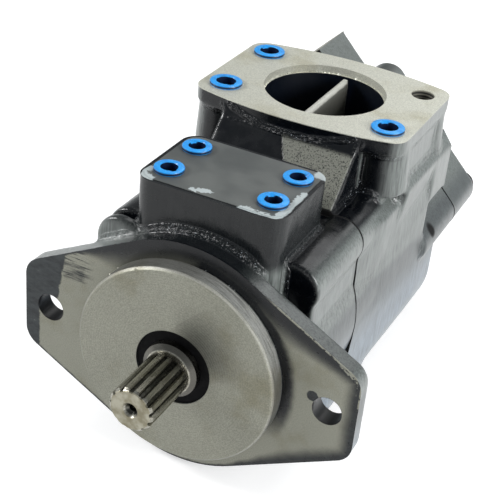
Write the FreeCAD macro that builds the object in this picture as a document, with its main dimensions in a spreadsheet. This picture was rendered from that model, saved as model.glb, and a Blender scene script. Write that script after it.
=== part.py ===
import FreeCAD, Part
import math
import os
import re
import Sketcher

from FreeCAD import Placement, Rotation, Vector

# Double vane pump. The shaft lies along Y and points to -Y, the inlet faces up (+Z), and the
# origin is where the shaft's axis meets the mounting flange's face. All sizes are millimetres.

doc = FreeCAD.newDocument("VanePump")
sheet = doc.addObject("Spreadsheet::Sheet", "Sizes")

SIZES = [
    # clearances
    ("slip_fit", 0.05, "radial clearance of a fixed round fit"),
    ("running_fit", 0.05, "radial clearance of a running fit"),
    ("face_gap", 0.04, "axial clearance beside each rotor and vane"),
    ("vane_fit", 0.03, "clearance on each side of a vane in its slot"),
    ("bolt_clearance", 0.5, "radial clearance of a bolt in its plain hole"),
    ("thread_clearance", 0.05, "radial clearance drawn between a screw and its thread"),
    # mounting flange
    ("pilot_radius", 50.8, "pilot of the two-bolt mounting flange"),
    ("pilot_length", 9.7, "height of the pilot over the flange face"),
    ("pilot_chamfer", 1.1, ""),
    ("flange_thickness", 10.0, ""),
    ("flange_hub_radius", 59.9, "round middle of the flange"),
    ("flange_half_width", 87.2, "from the axis to the end of an ear"),
    ("flange_slope", 28.0, "degrees between an ear's edge and the X axis"),
    ("flange_end_radius", 11.0, ""),
    ("flange_hole_offset", 73.0, "half of the 146 mm hole spacing"),
    ("flange_hole_radius", 7.15, ""),
    # front body
    ("neck_radius", 50.0, "behind the flange"),
    ("barrel_start", 20.0, "Y where the full barrel begins"),
    ("barrel_radius", 56.8, ""),
    ("front_joint", 72.0, "Y of the joint between the front body and the inlet body"),
    ("front_bolt_circle_radius", 60.0, "radius, bolts at 45 degrees"),
    ("lobe_radius", 12.5, "round lobe about each front bolt"),
    ("web_half", 52.8, "from the axis to the flat webs between the lobes"),
    ("web_corner", 12.0, ""),
    ("left_shoulder_length", 6.0, "shoulder behind the left ear, in line with the upper left lobe"),
    ("outlet_y", 37.8, "centre of the front outlet"),
    ("outlet_face", 78.6, "height of the front outlet's face"),
    ("outlet_pad_half_x", 37.0, ""),
    ("outlet_pad_half_y", 27.0, ""),
    ("outlet_pad_corner", 9.0, ""),
    ("outlet_port_radius", 12.7, "one inch port"),
    ("outlet_bolt_half_x", 26.185, "half of 52.37 mm"),
    ("outlet_bolt_half_y", 13.095, "half of 26.19 mm"),
    ("outlet_thread_radius", 5.0, "M10"),
    ("outlet_thread_depth", 20.0, ""),
    ("seal_bore_radius", 19.2, ""),
    ("seal_width", 8.0, ""),
    ("seal_recess", 0.8, "seal face below the pilot face"),
    ("shaft_passage_radius", 18.5, "bore between seal and bearing"),
    ("hub_bore_radius", 34.0, "bore that takes the front outlet plate's hub"),
    ("front_cavity_start", 28.0, "Y where the outlet chamber begins"),
    # inlet body
    ("inlet_y", 139.5, "centre of the inlet"),
    ("inlet_face", 84.8, "height of the inlet's face"),
    ("inlet_pad_half_x", 57.0, ""),
    ("inlet_pad_half_y", 45.2, "at the middle of its bowed edges"),
    ("inlet_pad_bow", 195.0, "radius of the bowed edges"),
    ("inlet_pad_corner", 9.0, "round corners, tangent to the bowed edges"),
    ("inlet_pad_thickness", 8.0, ""),
    ("inlet_port_radius", 31.75, "two and a half inch port"),
    ("inlet_rim_depth", 4.1, "machined rim of the inlet"),
    ("inlet_throat_radius", 31.0, "cast throat under the rim"),
    ("inlet_bolt_half_x", 44.45, "half of 88.9 mm"),
    ("inlet_bolt_half_y", 25.4, "half of 50.8 mm"),
    ("inlet_thread_radius", 6.1, "M12"),
    ("inlet_thread_depth", 25.0, ""),
    ("column_radius", 12.4, "round column under each corner of the inlet pad"),
    ("column_foot_radius", 14.0, "the columns widen towards the block"),
    ("column_wall_half_x", 55.8, "flat wall between two columns"),
    ("saddle_half_x", 37.0, "neck between the niches"),
    ("saddle_foot", 55.5, "height of the neck's sloping front at the joint"),
    ("saddle_top_y", 98.0, "Y where the sloping front meets the pad"),
    ("waist_half_x", 53.4, "sides at the front joint, above the crease"),
    ("waist_z", 12.0, ""),
    ("bulge_z", 4.0, "depth of the sides' widest line at the front joint"),
    ("nose_half_x", 55.4, "sides where the block begins"),
    ("nose_crease", 17.0, ""),
    ("nose_bulge_x", 57.4, ""),
    ("nose_bulge_z", 6.0, ""),
    ("nose_corner", 30.0, ""),
    ("block_half_x", 60.0, "sides of the block under the inlet"),
    ("block_bulge_z", 12.0, ""),
    ("block_top", 61.5, ""),
    ("block_shoulder_x", 54.0, "where the sloping shoulder meets the top"),
    ("block_shoulder_z", 53.5, "where the side meets the sloping shoulder"),
    ("nose_top", 56.0, "top of the block's lower front part"),
    ("nose_half_top", 46.0, ""),
    ("nose_shoulder_x", 57.0, ""),
    ("nose_shoulder_z", 46.0, ""),
    ("side_crease", 28.5, "height of the crease along each side"),
    ("block_bottom", 62.5, "depth of the foot face below the axis"),
    ("block_bottom_corner", 37.8, ""),
    ("block_start", 98.0, "Y where the block's lower front part begins"),
    ("shoulder_start", 116.0, "Y where the full block begins"),
    ("block_end", 182.0, ""),
    ("pocket_start", 158.0, "Y where the pocket in each side begins"),
    ("rib_thickness", 5.4, "rib that splits the inlet"),
    ("rib_drop", 4.4, "top of the rib below the inlet's face"),
    ("chamber_radius", 44.0, "inlet chamber, front part"),
    ("rear_chamber_radius", 37.0, "inlet chamber, rear part"),
    ("chamber_step", 160.0, "Y between the two parts of the chamber"),
    ("rear_joint", 207.0, "Y of the joint between inlet body and rear cover"),
    ("diamond_half", 47.3, "from the axis to a flat of the diamond flange"),
    ("diamond_corner", 9.7, "round corner about each rear bolt"),
    ("top_boss_radius", 11.7, "larger round boss at the cover's top corner"),
    # rear cover
    ("cover_end", 244.0, "Y of the cover's back face"),
    ("cover_wall", 10.0, "end wall of the cover"),
    ("rear_outlet_face", 77.1, "from the axis to the rear outlet's face"),
    ("rear_outlet_half_width", 31.0, "across the shaft"),
    ("rear_outlet_radius", 9.5, "three quarter inch port"),
    ("rear_outlet_bolt_across", 23.815, "half of 47.63 mm"),
    ("rear_outlet_bolt_along", 11.115, "half of 22.23 mm"),
    ("rear_outlet_thread_radius", 5.0, "M10"),
    ("rear_outlet_thread_depth", 18.0, ""),
    # bolts
    ("bolt_radius", 6.0, "M12"),
    ("bolt_head_radius", 9.0, ""),
    ("bolt_head_height", 12.0, ""),
    ("hex_socket_radius", 5.77, "10 mm across flats"),
    ("hex_socket_depth", 6.0, ""),
    ("rear_bolt_radius", 5.0, "M10"),
    ("rear_head_radius", 8.0, ""),
    ("rear_head_height", 10.0, ""),
    ("rear_socket_radius", 4.62, "8 mm across flats"),
    ("rear_socket_depth", 5.0, ""),
    ("counterbore_radius", 8.6, "counterbores of the rear cover"),
    ("counterbore_depth", 6.0, ""),
    ("front_bolt_grip", 26.0, "thread engaged in the front body"),
    ("rear_bolt_grip", 20.0, "thread engaged in the inlet body"),
    # shaft
    ("shaft_end", 46.8, "from the flange face to the tip of the shaft"),
    ("spline_radius", 11.05, "tip of the 13 teeth"),
    ("spline_root", 9.45, ""),
    ("spline_gap_tip", 3.4, "groove width at the tip"),
    ("spline_gap_root", 1.3, "groove width at the root"),
    ("spline_foot", 14.2, "from the flange face to the foot of the spline"),
    ("spline_runout", 2.2, "plain length before the collar"),
    ("collar_radius", 13.9, "sealing collar"),
    ("collar_cone", 2.0, "length of the cone in front of the collar"),
    ("seat_radius", 15.0, "bearing seat"),
    ("shoulder_radius", 17.5, ""),
    ("shoulder_length", 3.5, ""),
    ("plate_journal_radius", 14.6, ""),
    ("front_key_tip", 14.0, "tip of the splines under the front rotor"),
    ("front_key_root", 12.6, ""),
    ("middle_radius", 12.2, "shaft between the rotors"),
    ("rear_key_tip", 11.6, "tip of the splines under the rear rotor"),
    ("rear_key_root", 10.3, ""),
    ("key_width", 3.0, "width of one spline under a rotor"),
    ("tail_radius", 9.5, "rear journal"),
    ("centre_hole_radius", 1.6, ""),
    ("centre_cone_radius", 4.0, ""),
    ("centre_hole_depth", 7.0, ""),
    ("shaft_chamfer", 1.4, ""),
    # bearing
    ("bearing_start", 2.0, ""),
    ("bearing_width", 16.0, ""),
    ("bearing_outer", 31.0, ""),
    ("outer_land", 26.3, "bore of the outer race"),
    ("inner_land", 19.7, "outside of the inner race"),
    ("ball_circle_radius", 23.0, ""),
    ("ball_radius", 4.76, ""),
    ("cage_thickness", 2.6, ""),
    ("cage_width", 12.6, ""),
    ("pocket_gap", 0.15, "between a ball and its pocket in the cage"),
    ("retainer_thickness", 1.5, ""),
    ("retainer_width", 4.0, "radial width of a retaining ring"),
    ("retainer_groove", 1.6, "depth of a retaining ring's groove"),
    ("shaft_retainer_width", 3.0, ""),
    ("retainer_gap", 60.0, "degrees left open"),
    # front cartridge
    ("front_ring_radius", 47.2, ""),
    ("front_plate_start", 44.0, "Y of the front outlet plate's flange"),
    ("front_ring_start", 54.0, ""),
    ("front_ring_end", 86.0, ""),
    ("front_inlet_plate_end", 98.0, ""),
    ("front_hub_radius", 33.95, ""),
    ("front_hub_start", 22.6, ""),
    ("front_plate_bore", 15.3, ""),
    ("front_cam_small", 33.0, "smallest cam radius"),
    ("front_cam_large", 36.6, "largest cam radius"),
    ("front_rotor_radius", 32.5, ""),
    ("front_vane_length", 12.0, ""),
    ("front_vane_thickness", 2.4, ""),
    ("front_pin_circle", 42.0, ""),
    ("pin_radius", 3.0, ""),
    ("pin_engagement", 6.0, "length of a pin in each plate"),
    ("screw_radius", 2.5, "cartridge screw"),
    ("screw_head_radius", 4.25, ""),
    ("screw_head_height", 5.0, ""),
    # rear cartridge
    ("rear_ring_radius", 40.0, ""),
    ("rear_inlet_plate_start", 172.0, ""),
    ("rear_ring_start", 182.0, ""),
    ("rear_ring_end", 206.0, ""),
    ("rear_plate_end", 216.0, "Y where the rear outlet plate's flange ends"),
    ("rear_hub_radius", 26.0, ""),
    ("rear_hub_end", 232.6, ""),
    ("rear_plate_bore", 13.5, ""),
    ("rear_cam_small", 26.4, ""),
    ("rear_cam_large", 29.4, ""),
    ("rear_rotor_radius", 25.9, ""),
    ("rear_vane_length", 9.6, ""),
    ("rear_vane_thickness", 2.2, ""),
    ("rear_pin_circle", 34.6, ""),
    ("bushing_thickness", 2.4, ""),
    ("bushing_length", 16.0, ""),
    ("tail_end", 229.0, ""),
    ("slot_root_radius", 1.9, "round hole at the bottom of a vane slot"),
    ("vane_reserve", 0.2, "vane tip below the rotor's rim when fully in"),
    # seals
    ("joint_ring_section", 1.5, "section radius of the joint o-rings"),
    ("groove_lip", 1.2, "wall between a bore and its joint's o-ring groove"),
    ("ring_squeeze", 0.05, "clearance drawn around an o-ring"),
    ("hub_seal_section", 1.2, "section radius of the plate seals"),
    ("seal_wall", 1.4, "steel case of the shaft seal"),
    ("seal_lip_gap", 0.05, "gap drawn between lip and shaft"),
    ("seal_case_bore", 16.6, ""),
    # transport plugs and film
    ("plug_flange_height", 1.9, ""),
    ("outlet_plug_radius", 7.2, ""),
    ("inlet_plug_radius", 8.4, ""),
    ("plug_wall", 0.9, ""),
    ("plug_length", 9.0, "stem below the face"),
    ("film_thickness", 0.3, "protective sheet over the front outlet"),
    ("film_margin", 2.0, "bare edge around the sheet"),
]

VANE_COUNT = 10
SPLINE_TEETH = 13
KEY_TEETH = 12
BALL_COUNT = 9
BOLT_ANGLES = (45, 135, 225, 315)
REAR_BOLT_ANGLES = (0, 90, 180, 270)
FRONT_VANE_PHASE = 9.0
REAR_VANE_PHASE = 27.0

for row, (alias, value, note) in enumerate(SIZES, start=1):
    sheet.set("A%d" % row, alias)
    sheet.set("B%d" % row, str(value))
    sheet.setAlias("B%d" % row, alias)
    if note:
        sheet.set("C%d" % row, note)
doc.recompute()

nodes = []
ALONG_Y = Rotation(Vector(1, 0, 0), -90)


def size(alias):
    """A size's value, read from the sheet."""
    return float(sheet.get(alias))


def bound(expression):
    """An expression over the sheet: a plain word that is a size's alias gets the sheet's name."""
    aliases = {alias for alias, _, _ in SIZES}
    return re.sub(
        r"[a-z][a-z_]*",
        lambda word: "Sizes." + word[0] if word[0] in aliases else word[0],
        expression,
    )


def bind(thing, path, expression):
    thing.setExpression(path, bound(expression))


def value_of(expression):
    return float(sheet.evalExpression(bound(expression)))


def place(thing, x, y, z):
    bind(thing, "Placement.Base.x", x)
    bind(thing, "Placement.Base.y", y)
    bind(thing, "Placement.Base.z", z)


def node(thing, label):
    """Marks a finished piece: its label names its node and its file."""
    thing.Label = label
    nodes.append(thing)
    return thing


def cylinder(name, radius, length, x="0", y="0", z="0", turn=ALONG_Y):
    """A cylinder that starts at x, y, z and runs along Y, or along Z where turn is Rotation()."""
    thing = doc.addObject("Part::Cylinder", name)
    thing.Placement = Placement(Vector(0, 0, 0), turn)
    bind(thing, "Radius", radius)
    bind(thing, "Height", length)
    place(thing, x, y, z)
    return thing


def ball(name, radius, x="0", y="0", z="0"):
    thing = doc.addObject("Part::Sphere", name)
    bind(thing, "Radius", radius)
    place(thing, x, y, z)
    return thing


def torus(name, ring_radius, section_radius, y):
    thing = doc.addObject("Part::Torus", name)
    thing.Placement = Placement(Vector(0, 0, 0), ALONG_Y)
    bind(thing, "Radius1", ring_radius)
    bind(thing, "Radius2", section_radius)
    place(thing, "0", y, "0")
    return thing


def block(name, x, y, z, length_x, length_y, length_z):
    """A box from its lowest corner."""
    thing = doc.addObject("Part::Box", name)
    bind(thing, "Length", length_x)
    bind(thing, "Width", length_y)
    bind(thing, "Height", length_z)
    place(thing, x, y, z)
    return thing


def polar(radius, degrees):
    """The X and Z expressions of a point at this radius and angle about the shaft."""
    return (
        "( %s ) * cos( %g deg )" % (radius, degrees),
        "( %s ) * sin( %g deg )" % (radius, degrees),
    )


def spoke(name, inner, outer, thickness, y, length, degrees):
    """A flat bar that runs outwards from the shaft's axis at this angle."""
    thing = doc.addObject("Part::Box", name)
    thing.Placement = Placement(Vector(0, 0, 0), Rotation(Vector(0, 1, 0), -degrees))
    bind(thing, "Length", "( %s ) - ( %s )" % (outer, inner))
    bind(thing, "Width", length)
    bind(thing, "Height", thickness)
    half = "( %s ) / 2" % thickness
    x = "( %s ) * cos( %g deg ) + %s * sin( %g deg )" % (inner, degrees, half, degrees)
    z = "( %s ) * sin( %g deg ) - %s * cos( %g deg )" % (inner, degrees, half, degrees)
    place(thing, x, y, z)
    return thing


def join(name, things):
    """Fuses several things, or gives back a single one."""
    if len(things) == 1:
        return things[0]
    fusion = doc.addObject("Part::MultiFuse", name)
    fusion.Shapes = things
    return fusion


def cut(name, base, tools):
    result = doc.addObject("Part::Cut", name)
    result.Base = base
    result.Tool = join(name + "_tools", tools)
    return result


def common(name, things):
    result = doc.addObject("Part::MultiCommon", name)
    result.Shapes = things
    return result


def ring(name, outer, inner, y, length):
    return cut(
        name,
        cylinder(name + "_outside", outer, length, y=y),
        [cylinder(name + "_bore", inner, length, y=y)],
    )


def group(name, things):
    """Separate solids that share one node."""
    result = doc.addObject("Part::Compound", name)
    result.Links = things
    return result


def plane(body, role):
    return next(f for f in body.Origin.OriginFeatures if f.Role == role)


def new_body(label):
    return doc.addObject("PartDesign::Body", label)


def sketch_on(body, role, name, offset="0"):
    """A sketch on one of the body's own planes, moved along the plane's normal."""
    sketch = body.newObject("Sketcher::SketchObject", name)
    sketch.AttachmentSupport = [(plane(body, role), "")]
    sketch.MapMode = "FlatFace"
    bind(sketch, "AttachmentOffset.Base.z", offset)
    return sketch


def hold_point(sketch, geometry, vertex, x, y, tag):
    """Fixes a sketch point at x, y, which are expressions."""
    for kind, axis, expression in (("DistanceX", -2, x), ("DistanceY", -1, y)):
        value = value_of(expression)
        if value == 0:
            sketch.addConstraint(
                Sketcher.Constraint("PointOnObject", geometry, vertex, axis)
            )
            continue
        index = sketch.addConstraint(
            Sketcher.Constraint(kind, -1, 1, geometry, vertex, value)
        )
        name = "%s_%s" % (tag, kind[-1].lower())
        sketch.renameConstraint(index, name)
        bind(sketch, "Constraints." + name, expression)


def circle(sketch, x, y, radius, tag="round"):
    centre = Vector(value_of(x), value_of(y), 0)
    shape = Part.Circle(centre, Vector(0, 0, 1), value_of(radius))
    index = sketch.addGeometry(shape, False)
    hold_point(sketch, index, 3, x, y, tag)
    limit = sketch.addConstraint(
        Sketcher.Constraint("Radius", index, value_of(radius))
    )
    sketch.renameConstraint(limit, tag + "_radius")
    bind(sketch, "Constraints.%s_radius" % tag, radius)


def outline(sketch, corners, tag="corner"):
    """A closed outline. A corner is (x, y) or, where it is rounded, (x, y, radius), all expressions."""
    count = len(corners)
    points = [Vector(value_of(c[0]), value_of(c[1]), 0) for c in corners]
    radii = [value_of(c[2]) if len(c) > 2 else 0 for c in corners]
    entry, leave = [], []
    for i, point in enumerate(points):
        before = (points[i - 1] - point).normalize()
        after = (points[(i + 1) % count] - point).normalize()
        half = before.getAngle(after) / 2
        back = radii[i] / math.tan(half) if radii[i] else 0
        entry.append(point + before * back)
        leave.append(point + after * back)
    lines = []
    for i in range(count):
        segment = Part.LineSegment(leave[i], entry[(i + 1) % count])
        lines.append(sketch.addGeometry(segment, False))
    for i, corner in enumerate(corners):
        before, after = lines[i - 1], lines[i]
        name = "%s%d" % (tag, i)
        if not radii[i]:
            sketch.addConstraint(Sketcher.Constraint("Coincident", before, 2, after, 1))
            hold_point(sketch, after, 1, corner[0], corner[1], name)
            continue
        middle = (entry[i] + leave[i]) / 2
        inward = (middle - points[i]).normalize()
        half = (points[i - 1] - points[i]).getAngle(inward)
        reach = radii[i] / math.sin(half) - radii[i]
        arc = sketch.addGeometry(
            Part.Arc(entry[i], points[i] + inward * reach, leave[i]), False
        )
        first = sketch.Geometry[arc].StartPoint
        begins = 1 if first.distanceToPoint(entry[i]) < 1e-4 else 2
        sketch.addConstraint(Sketcher.Constraint("Tangent", before, 2, arc, begins))
        sketch.addConstraint(Sketcher.Constraint("Tangent", arc, 3 - begins, after, 1))
        limit = sketch.addConstraint(Sketcher.Constraint("Radius", arc, radii[i]))
        sketch.renameConstraint(limit, name + "_radius")
        bind(sketch, "Constraints.%s_radius" % name, corner[2])
        tip = sketch.addGeometry(Part.Point(points[i]), True)
        hold_point(sketch, tip, 1, corner[0], corner[1], name)
        sketch.addConstraint(Sketcher.Constraint("PointOnObject", tip, 1, before))
        sketch.addConstraint(Sketcher.Constraint("PointOnObject", tip, 1, after))


def turned(body, name, profile, remove=False):
    """Turns a profile of (radius, y) corners about the shaft's axis, as material or as a cut."""
    sketch = sketch_on(body, "XY_Plane", name + "_profile")
    outline(sketch, profile)
    kind = "PartDesign::Groove" if remove else "PartDesign::Revolution"
    feature = body.newObject(kind, name)
    feature.Profile = sketch
    feature.ReferenceAxis = (sketch, ["V_Axis"])
    feature.Angle = 360
    return feature


def extruded(body, name, sketch, length, remove=False):
    """Pads an XZ sketch towards +Y or an XY sketch towards +Z, or pockets it towards +Y or -Z."""
    feature = body.newObject(
        "PartDesign::Pocket" if remove else "PartDesign::Pad", name
    )
    feature.Profile = sketch
    bind(feature, "Length", length)
    on_section = sketch.AttachmentSupport[0][0].Role == "XZ_Plane"
    feature.Reversed = bool(on_section and not remove)
    return feature


def blended(body, name, first, second):
    """Adds the solid whose straight sides run from the first outline to the second."""
    feature = body.newObject("PartDesign::AdditiveLoft", name)
    feature.Profile = first
    feature.Sections = [second]
    feature.Ruled = True
    return feature


def repeated(body, name, feature, count):
    """Repeats a feature around the shaft's axis."""
    pattern = body.newObject("PartDesign::PolarPattern", name)
    pattern.Originals = [feature]
    pattern.Axis = (plane(body, "Y_Axis"), [""])
    pattern.Angle = 360
    pattern.Occurrences = count
    body.Tip = pattern
    return pattern


def section_sketch(body, name, y):
    """A sketch across the shaft at this Y. Its own axes are X and Z."""
    return sketch_on(body, "XZ_Plane", name, "- ( %s )" % y)


def four(x, y):
    """The four points at plus and minus x and y."""
    return [(sx + x, sy + y) for sx, sy in (("", ""), ("- ", ""), ("- ", "- "), ("", "- "))]


def make_front_body():
    body = new_body("front_body")
    turned(
        body,
        "turned_outside",
        [
            ("0", "- pilot_length"),
            ("pilot_radius - pilot_chamfer", "- pilot_length"),
            ("pilot_radius", "pilot_chamfer - pilot_length"),
            ("pilot_radius", "0"),
            ("flange_hub_radius", "0"),
            ("flange_hub_radius", "flange_thickness"),
            ("neck_radius", "flange_thickness"),
            ("neck_radius", "barrel_start"),
            ("barrel_radius", "barrel_start"),
            ("barrel_radius", "front_joint"),
            ("0", "front_joint"),
        ],
    )
    ears = section_sketch(body, "ears", "0")
    end = "( flange_hub_radius - flange_half_width * sin( flange_slope * 1 deg ) )"
    end += " / cos( flange_slope * 1 deg )"
    touch_x = "flange_hub_radius * sin( flange_slope * 1 deg )"
    touch_z = "flange_hub_radius * cos( flange_slope * 1 deg )"
    outline(
        ears,
        [
            ("flange_half_width", "- ( %s )" % end, "flange_end_radius"),
            ("flange_half_width", end, "flange_end_radius"),
            (touch_x, touch_z),
            ("- " + touch_x, touch_z),
            ("- flange_half_width", end, "flange_end_radius"),
            ("- flange_half_width", "- ( %s )" % end, "flange_end_radius"),
            ("- " + touch_x, "- " + touch_z),
            (touch_x, "- " + touch_z),
        ],
    )
    extruded(body, "flange_ears", ears, "flange_thickness")
    lobes = section_sketch(body, "lobes", "barrel_start")
    for i, angle in enumerate(BOLT_ANGLES):
        x, z = polar("front_bolt_circle_radius", angle)
        circle(lobes, x, z, "lobe_radius", "lobe%d" % i)
    extruded(body, "bolt_lobes", lobes, "front_joint - barrel_start")
    webs = section_sketch(body, "webs", "barrel_start")
    outline(webs, [(x, z, "web_corner") for x, z in four("web_half", "web_half")])
    extruded(body, "lobe_webs", webs, "front_joint - barrel_start")
    shoulder = section_sketch(body, "shoulder", "flange_thickness")
    x, z = polar("front_bolt_circle_radius", 135)
    circle(shoulder, x, z, "lobe_radius")
    extruded(body, "left_shoulder", shoulder, "left_shoulder_length")
    pad = sketch_on(body, "XY_Plane", "pad")
    low, high = "outlet_y - outlet_pad_half_y", "outlet_y + outlet_pad_half_y"
    outline(
        pad,
        [
            ("- outlet_pad_half_x", low, "outlet_pad_corner"),
            ("outlet_pad_half_x", low, "outlet_pad_corner"),
            ("outlet_pad_half_x", high, "outlet_pad_corner"),
            ("- outlet_pad_half_x", high, "outlet_pad_corner"),
        ],
    )
    extruded(body, "outlet_pad", pad, "outlet_face")
    bearing_end = "bearing_start + bearing_width"
    groove_end = bearing_end + " + retainer_thickness + slip_fit"
    turned(
        body,
        "bores",
        [
            ("0", "- pilot_length - 1"),
            ("seal_bore_radius", "- pilot_length - 1"),
            ("seal_bore_radius", "seal_recess + seal_width - pilot_length"),
            ("shaft_passage_radius", "seal_recess + seal_width - pilot_length"),
            ("shaft_passage_radius", "bearing_start"),
            ("bearing_outer + slip_fit", "bearing_start"),
            ("bearing_outer + slip_fit", bearing_end),
            ("bearing_outer + retainer_groove", bearing_end),
            ("bearing_outer + retainer_groove", groove_end),
            ("bearing_outer + slip_fit", groove_end),
            ("bearing_outer + slip_fit", "front_hub_start - slip_fit"),
            ("hub_bore_radius", "front_hub_start - slip_fit"),
            ("hub_bore_radius", "front_cavity_start"),
            ("front_ring_radius + slip_fit", "front_cavity_start"),
            ("front_ring_radius + slip_fit", "front_joint + 1"),
            ("0", "front_joint + 1"),
        ],
        remove=True,
    )
    port = sketch_on(body, "XY_Plane", "port", "outlet_face")
    circle(port, "0", "outlet_y", "outlet_port_radius")
    extruded(body, "outlet_port", port, "outlet_face - hub_bore_radius - 3", remove=True)
    threads = sketch_on(body, "XY_Plane", "threads", "outlet_face")
    for i, (x, y) in enumerate(four("outlet_bolt_half_x", "outlet_bolt_half_y")):
        circle(threads, x, y + " + outlet_y", "outlet_thread_radius", "hole%d" % i)
    extruded(body, "outlet_threads", threads, "outlet_thread_depth", remove=True)
    holes = section_sketch(body, "flange_hole_centres", "0")
    circle(holes, "flange_hole_offset", "0", "flange_hole_radius", "right")
    circle(holes, "- flange_hole_offset", "0", "flange_hole_radius", "left")
    extruded(body, "flange_holes", holes, "flange_thickness", remove=True)
    taps = section_sketch(body, "taps", "front_joint - front_bolt_grip - 2")
    for i, angle in enumerate(BOLT_ANGLES):
        x, z = polar("front_bolt_circle_radius", angle)
        circle(taps, x, z, "bolt_radius + thread_clearance", "tap%d" % i)
    extruded(body, "front_taps", taps, "front_bolt_grip + 2", remove=True)
    return node(body, "front_body")


def make_drive_shaft():
    body = new_body("drive_shaft")
    seat_start = "bearing_start - retainer_thickness"
    shoulder = "bearing_start + bearing_width"
    turned(
        body,
        "turned_blank",
        [
            ("0", "centre_hole_depth - shaft_end"),
            ("centre_hole_radius", "centre_hole_depth - 2 * centre_hole_radius - shaft_end"),
            ("centre_hole_radius", "centre_cone_radius - centre_hole_radius - shaft_end"),
            ("centre_cone_radius", "- shaft_end"),
            ("spline_radius - shaft_chamfer", "- shaft_end"),
            ("spline_radius", "shaft_chamfer - shaft_end"),
            ("spline_radius", "- spline_foot"),
            ("collar_radius", "collar_cone - spline_foot"),
            ("collar_radius", "bearing_start"),
            ("seat_radius", "bearing_start"),
            ("seat_radius", shoulder),
            ("shoulder_radius", shoulder),
            ("shoulder_radius", shoulder + " + shoulder_length"),
            ("plate_journal_radius", shoulder + " + shoulder_length"),
            ("plate_journal_radius", "front_ring_start"),
            ("front_key_root", "front_ring_start"),
            ("front_key_root", "front_ring_end"),
            ("middle_radius", "front_ring_end"),
            ("middle_radius", "rear_ring_start"),
            ("rear_key_root", "rear_ring_start"),
            ("rear_key_root", "rear_ring_end"),
            ("tail_radius", "rear_ring_end"),
            ("tail_radius", "tail_end - 1"),
            ("tail_radius - 1", "tail_end"),
            ("0", "tail_end"),
        ],
    )
    gap = section_sketch(body, "spline_gap", "- shaft_end - 1")
    outline(
        gap,
        [
            ("- spline_gap_root / 2", "spline_root"),
            ("spline_gap_root / 2", "spline_root"),
            ("spline_gap_tip / 2", "spline_radius + 0.1"),
            ("- spline_gap_tip / 2", "spline_radius + 0.1"),
        ],
    )
    length = "shaft_end + 1 - spline_foot - spline_runout"
    groove = extruded(body, "spline_groove", gap, length, remove=True)
    repeated(body, "drive_spline", groove, SPLINE_TEETH)
    for place_name in ("front", "rear"):
        tooth = section_sketch(body, place_name + "_tooth", place_name + "_ring_start")
        outline(
            tooth,
            [
                ("- key_width / 2", place_name + "_key_root - 1"),
                ("key_width / 2", place_name + "_key_root - 1"),
                ("key_width / 2", place_name + "_key_tip"),
                ("- key_width / 2", place_name + "_key_tip"),
            ],
        )
        span = "%s_ring_end - %s_ring_start" % (place_name, place_name)
        key = extruded(body, place_name + "_key", tooth, span)
        repeated(body, place_name + "_keys", key, KEY_TEETH)
    return node(body, "drive_shaft")


def cam_radius(which, degrees):
    """The cam bore's radius at an angle: two small arcs, two large ones and smooth ramps."""
    small, large = size(which + "_cam_small"), size(which + "_cam_large")
    return small + (large - small) * (1 + math.cos(math.radians(2 * degrees))) / 2


def make_cam_ring(which):
    """The ring's bore follows the cam formula, so its shape is set in code from the sheet."""
    y, length = size(which + "_ring_start"), size(which + "_ring_end") - size(which + "_ring_start")
    steps = 72
    around = [360.0 * i / steps for i in range(steps)]
    points = [
        Vector(
            cam_radius(which, a) * math.cos(math.radians(a)),
            0,
            cam_radius(which, a) * math.sin(math.radians(a)),
        )
        for a in around
    ]
    curve = Part.BSplineCurve()
    curve.interpolate(Points=points, PeriodicFlag=True)
    bore = Part.Face(Part.Wire(curve.toShape())).extrude(Vector(0, length, 0))
    outside = Part.makeCylinder(
        size(which + "_ring_radius"), length, Vector(0, 0, 0), Vector(0, 1, 0)
    )
    shape = outside.cut(bore)
    circle_radius = size(which + "_pin_circle")
    for angle, radius in (
        (45, size("pin_radius") + size("slip_fit")),
        (225, size("pin_radius") + size("slip_fit")),
        (135, size("screw_radius") + size("slip_fit")),
        (315, size("screw_radius") + size("slip_fit")),
    ):
        centre = Vector(
            circle_radius * math.cos(math.radians(angle)),
            0,
            circle_radius * math.sin(math.radians(angle)),
        )
        shape = shape.cut(Part.makeCylinder(radius, length, centre, Vector(0, 1, 0)))
    thing = doc.addObject("Part::Feature", which + "_cam_ring")
    thing.Shape = shape
    thing.Placement = Placement(Vector(0, y, 0), Rotation())
    return node(thing, which + "_cam_ring")


def make_rotor(which, phase):
    start, end = which + "_ring_start", which + "_ring_end"
    length = "%s - %s - 2 * face_gap" % (end, start)
    y = start + " + face_gap"
    rim = which + "_rotor_radius"
    root = "%s - vane_reserve - %s_vane_length - vane_fit" % (rim, which)
    blank = cylinder(which + "_rotor_blank", rim, length, y=y)
    tools = [cylinder(which + "_rotor_bore", which + "_key_root + running_fit", length, y=y)]
    for i in range(VANE_COUNT):
        angle = phase + 360.0 / VANE_COUNT * i
        name = "%s_slot_%02d" % (which, i + 1)
        width = which + "_vane_thickness + 2 * vane_fit"
        tools.append(spoke(name, root, rim + " + 1", width, y, length, angle))
        x, z = polar(root, angle)
        tools.append(cylinder(name + "_root", "slot_root_radius", length, x, y, z))
    for i in range(KEY_TEETH):
        angle = 90 + 360.0 / KEY_TEETH * i
        tools.append(
            spoke(
                "%s_keyway_%02d" % (which, i + 1),
                which + "_key_root - 1",
                which + "_key_tip + running_fit",
                "key_width + 2 * running_fit",
                y,
                length,
                angle,
            )
        )
    return node(cut(which + "_rotor", blank, tools), which + "_rotor")


def make_vanes(which, phase):
    rim = which + "_rotor_radius - vane_reserve"
    for i in range(VANE_COUNT):
        label = "%s_vane_%02d" % (which, i + 1)
        vane = spoke(
            label,
            "%s - %s_vane_length" % (rim, which),
            rim,
            which + "_vane_thickness",
            which + "_ring_start + face_gap",
            "%s_ring_end - %s_ring_start - 2 * face_gap" % (which, which),
            phase + 360.0 / VANE_COUNT * i,
        )
        node(vane, label)


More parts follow.
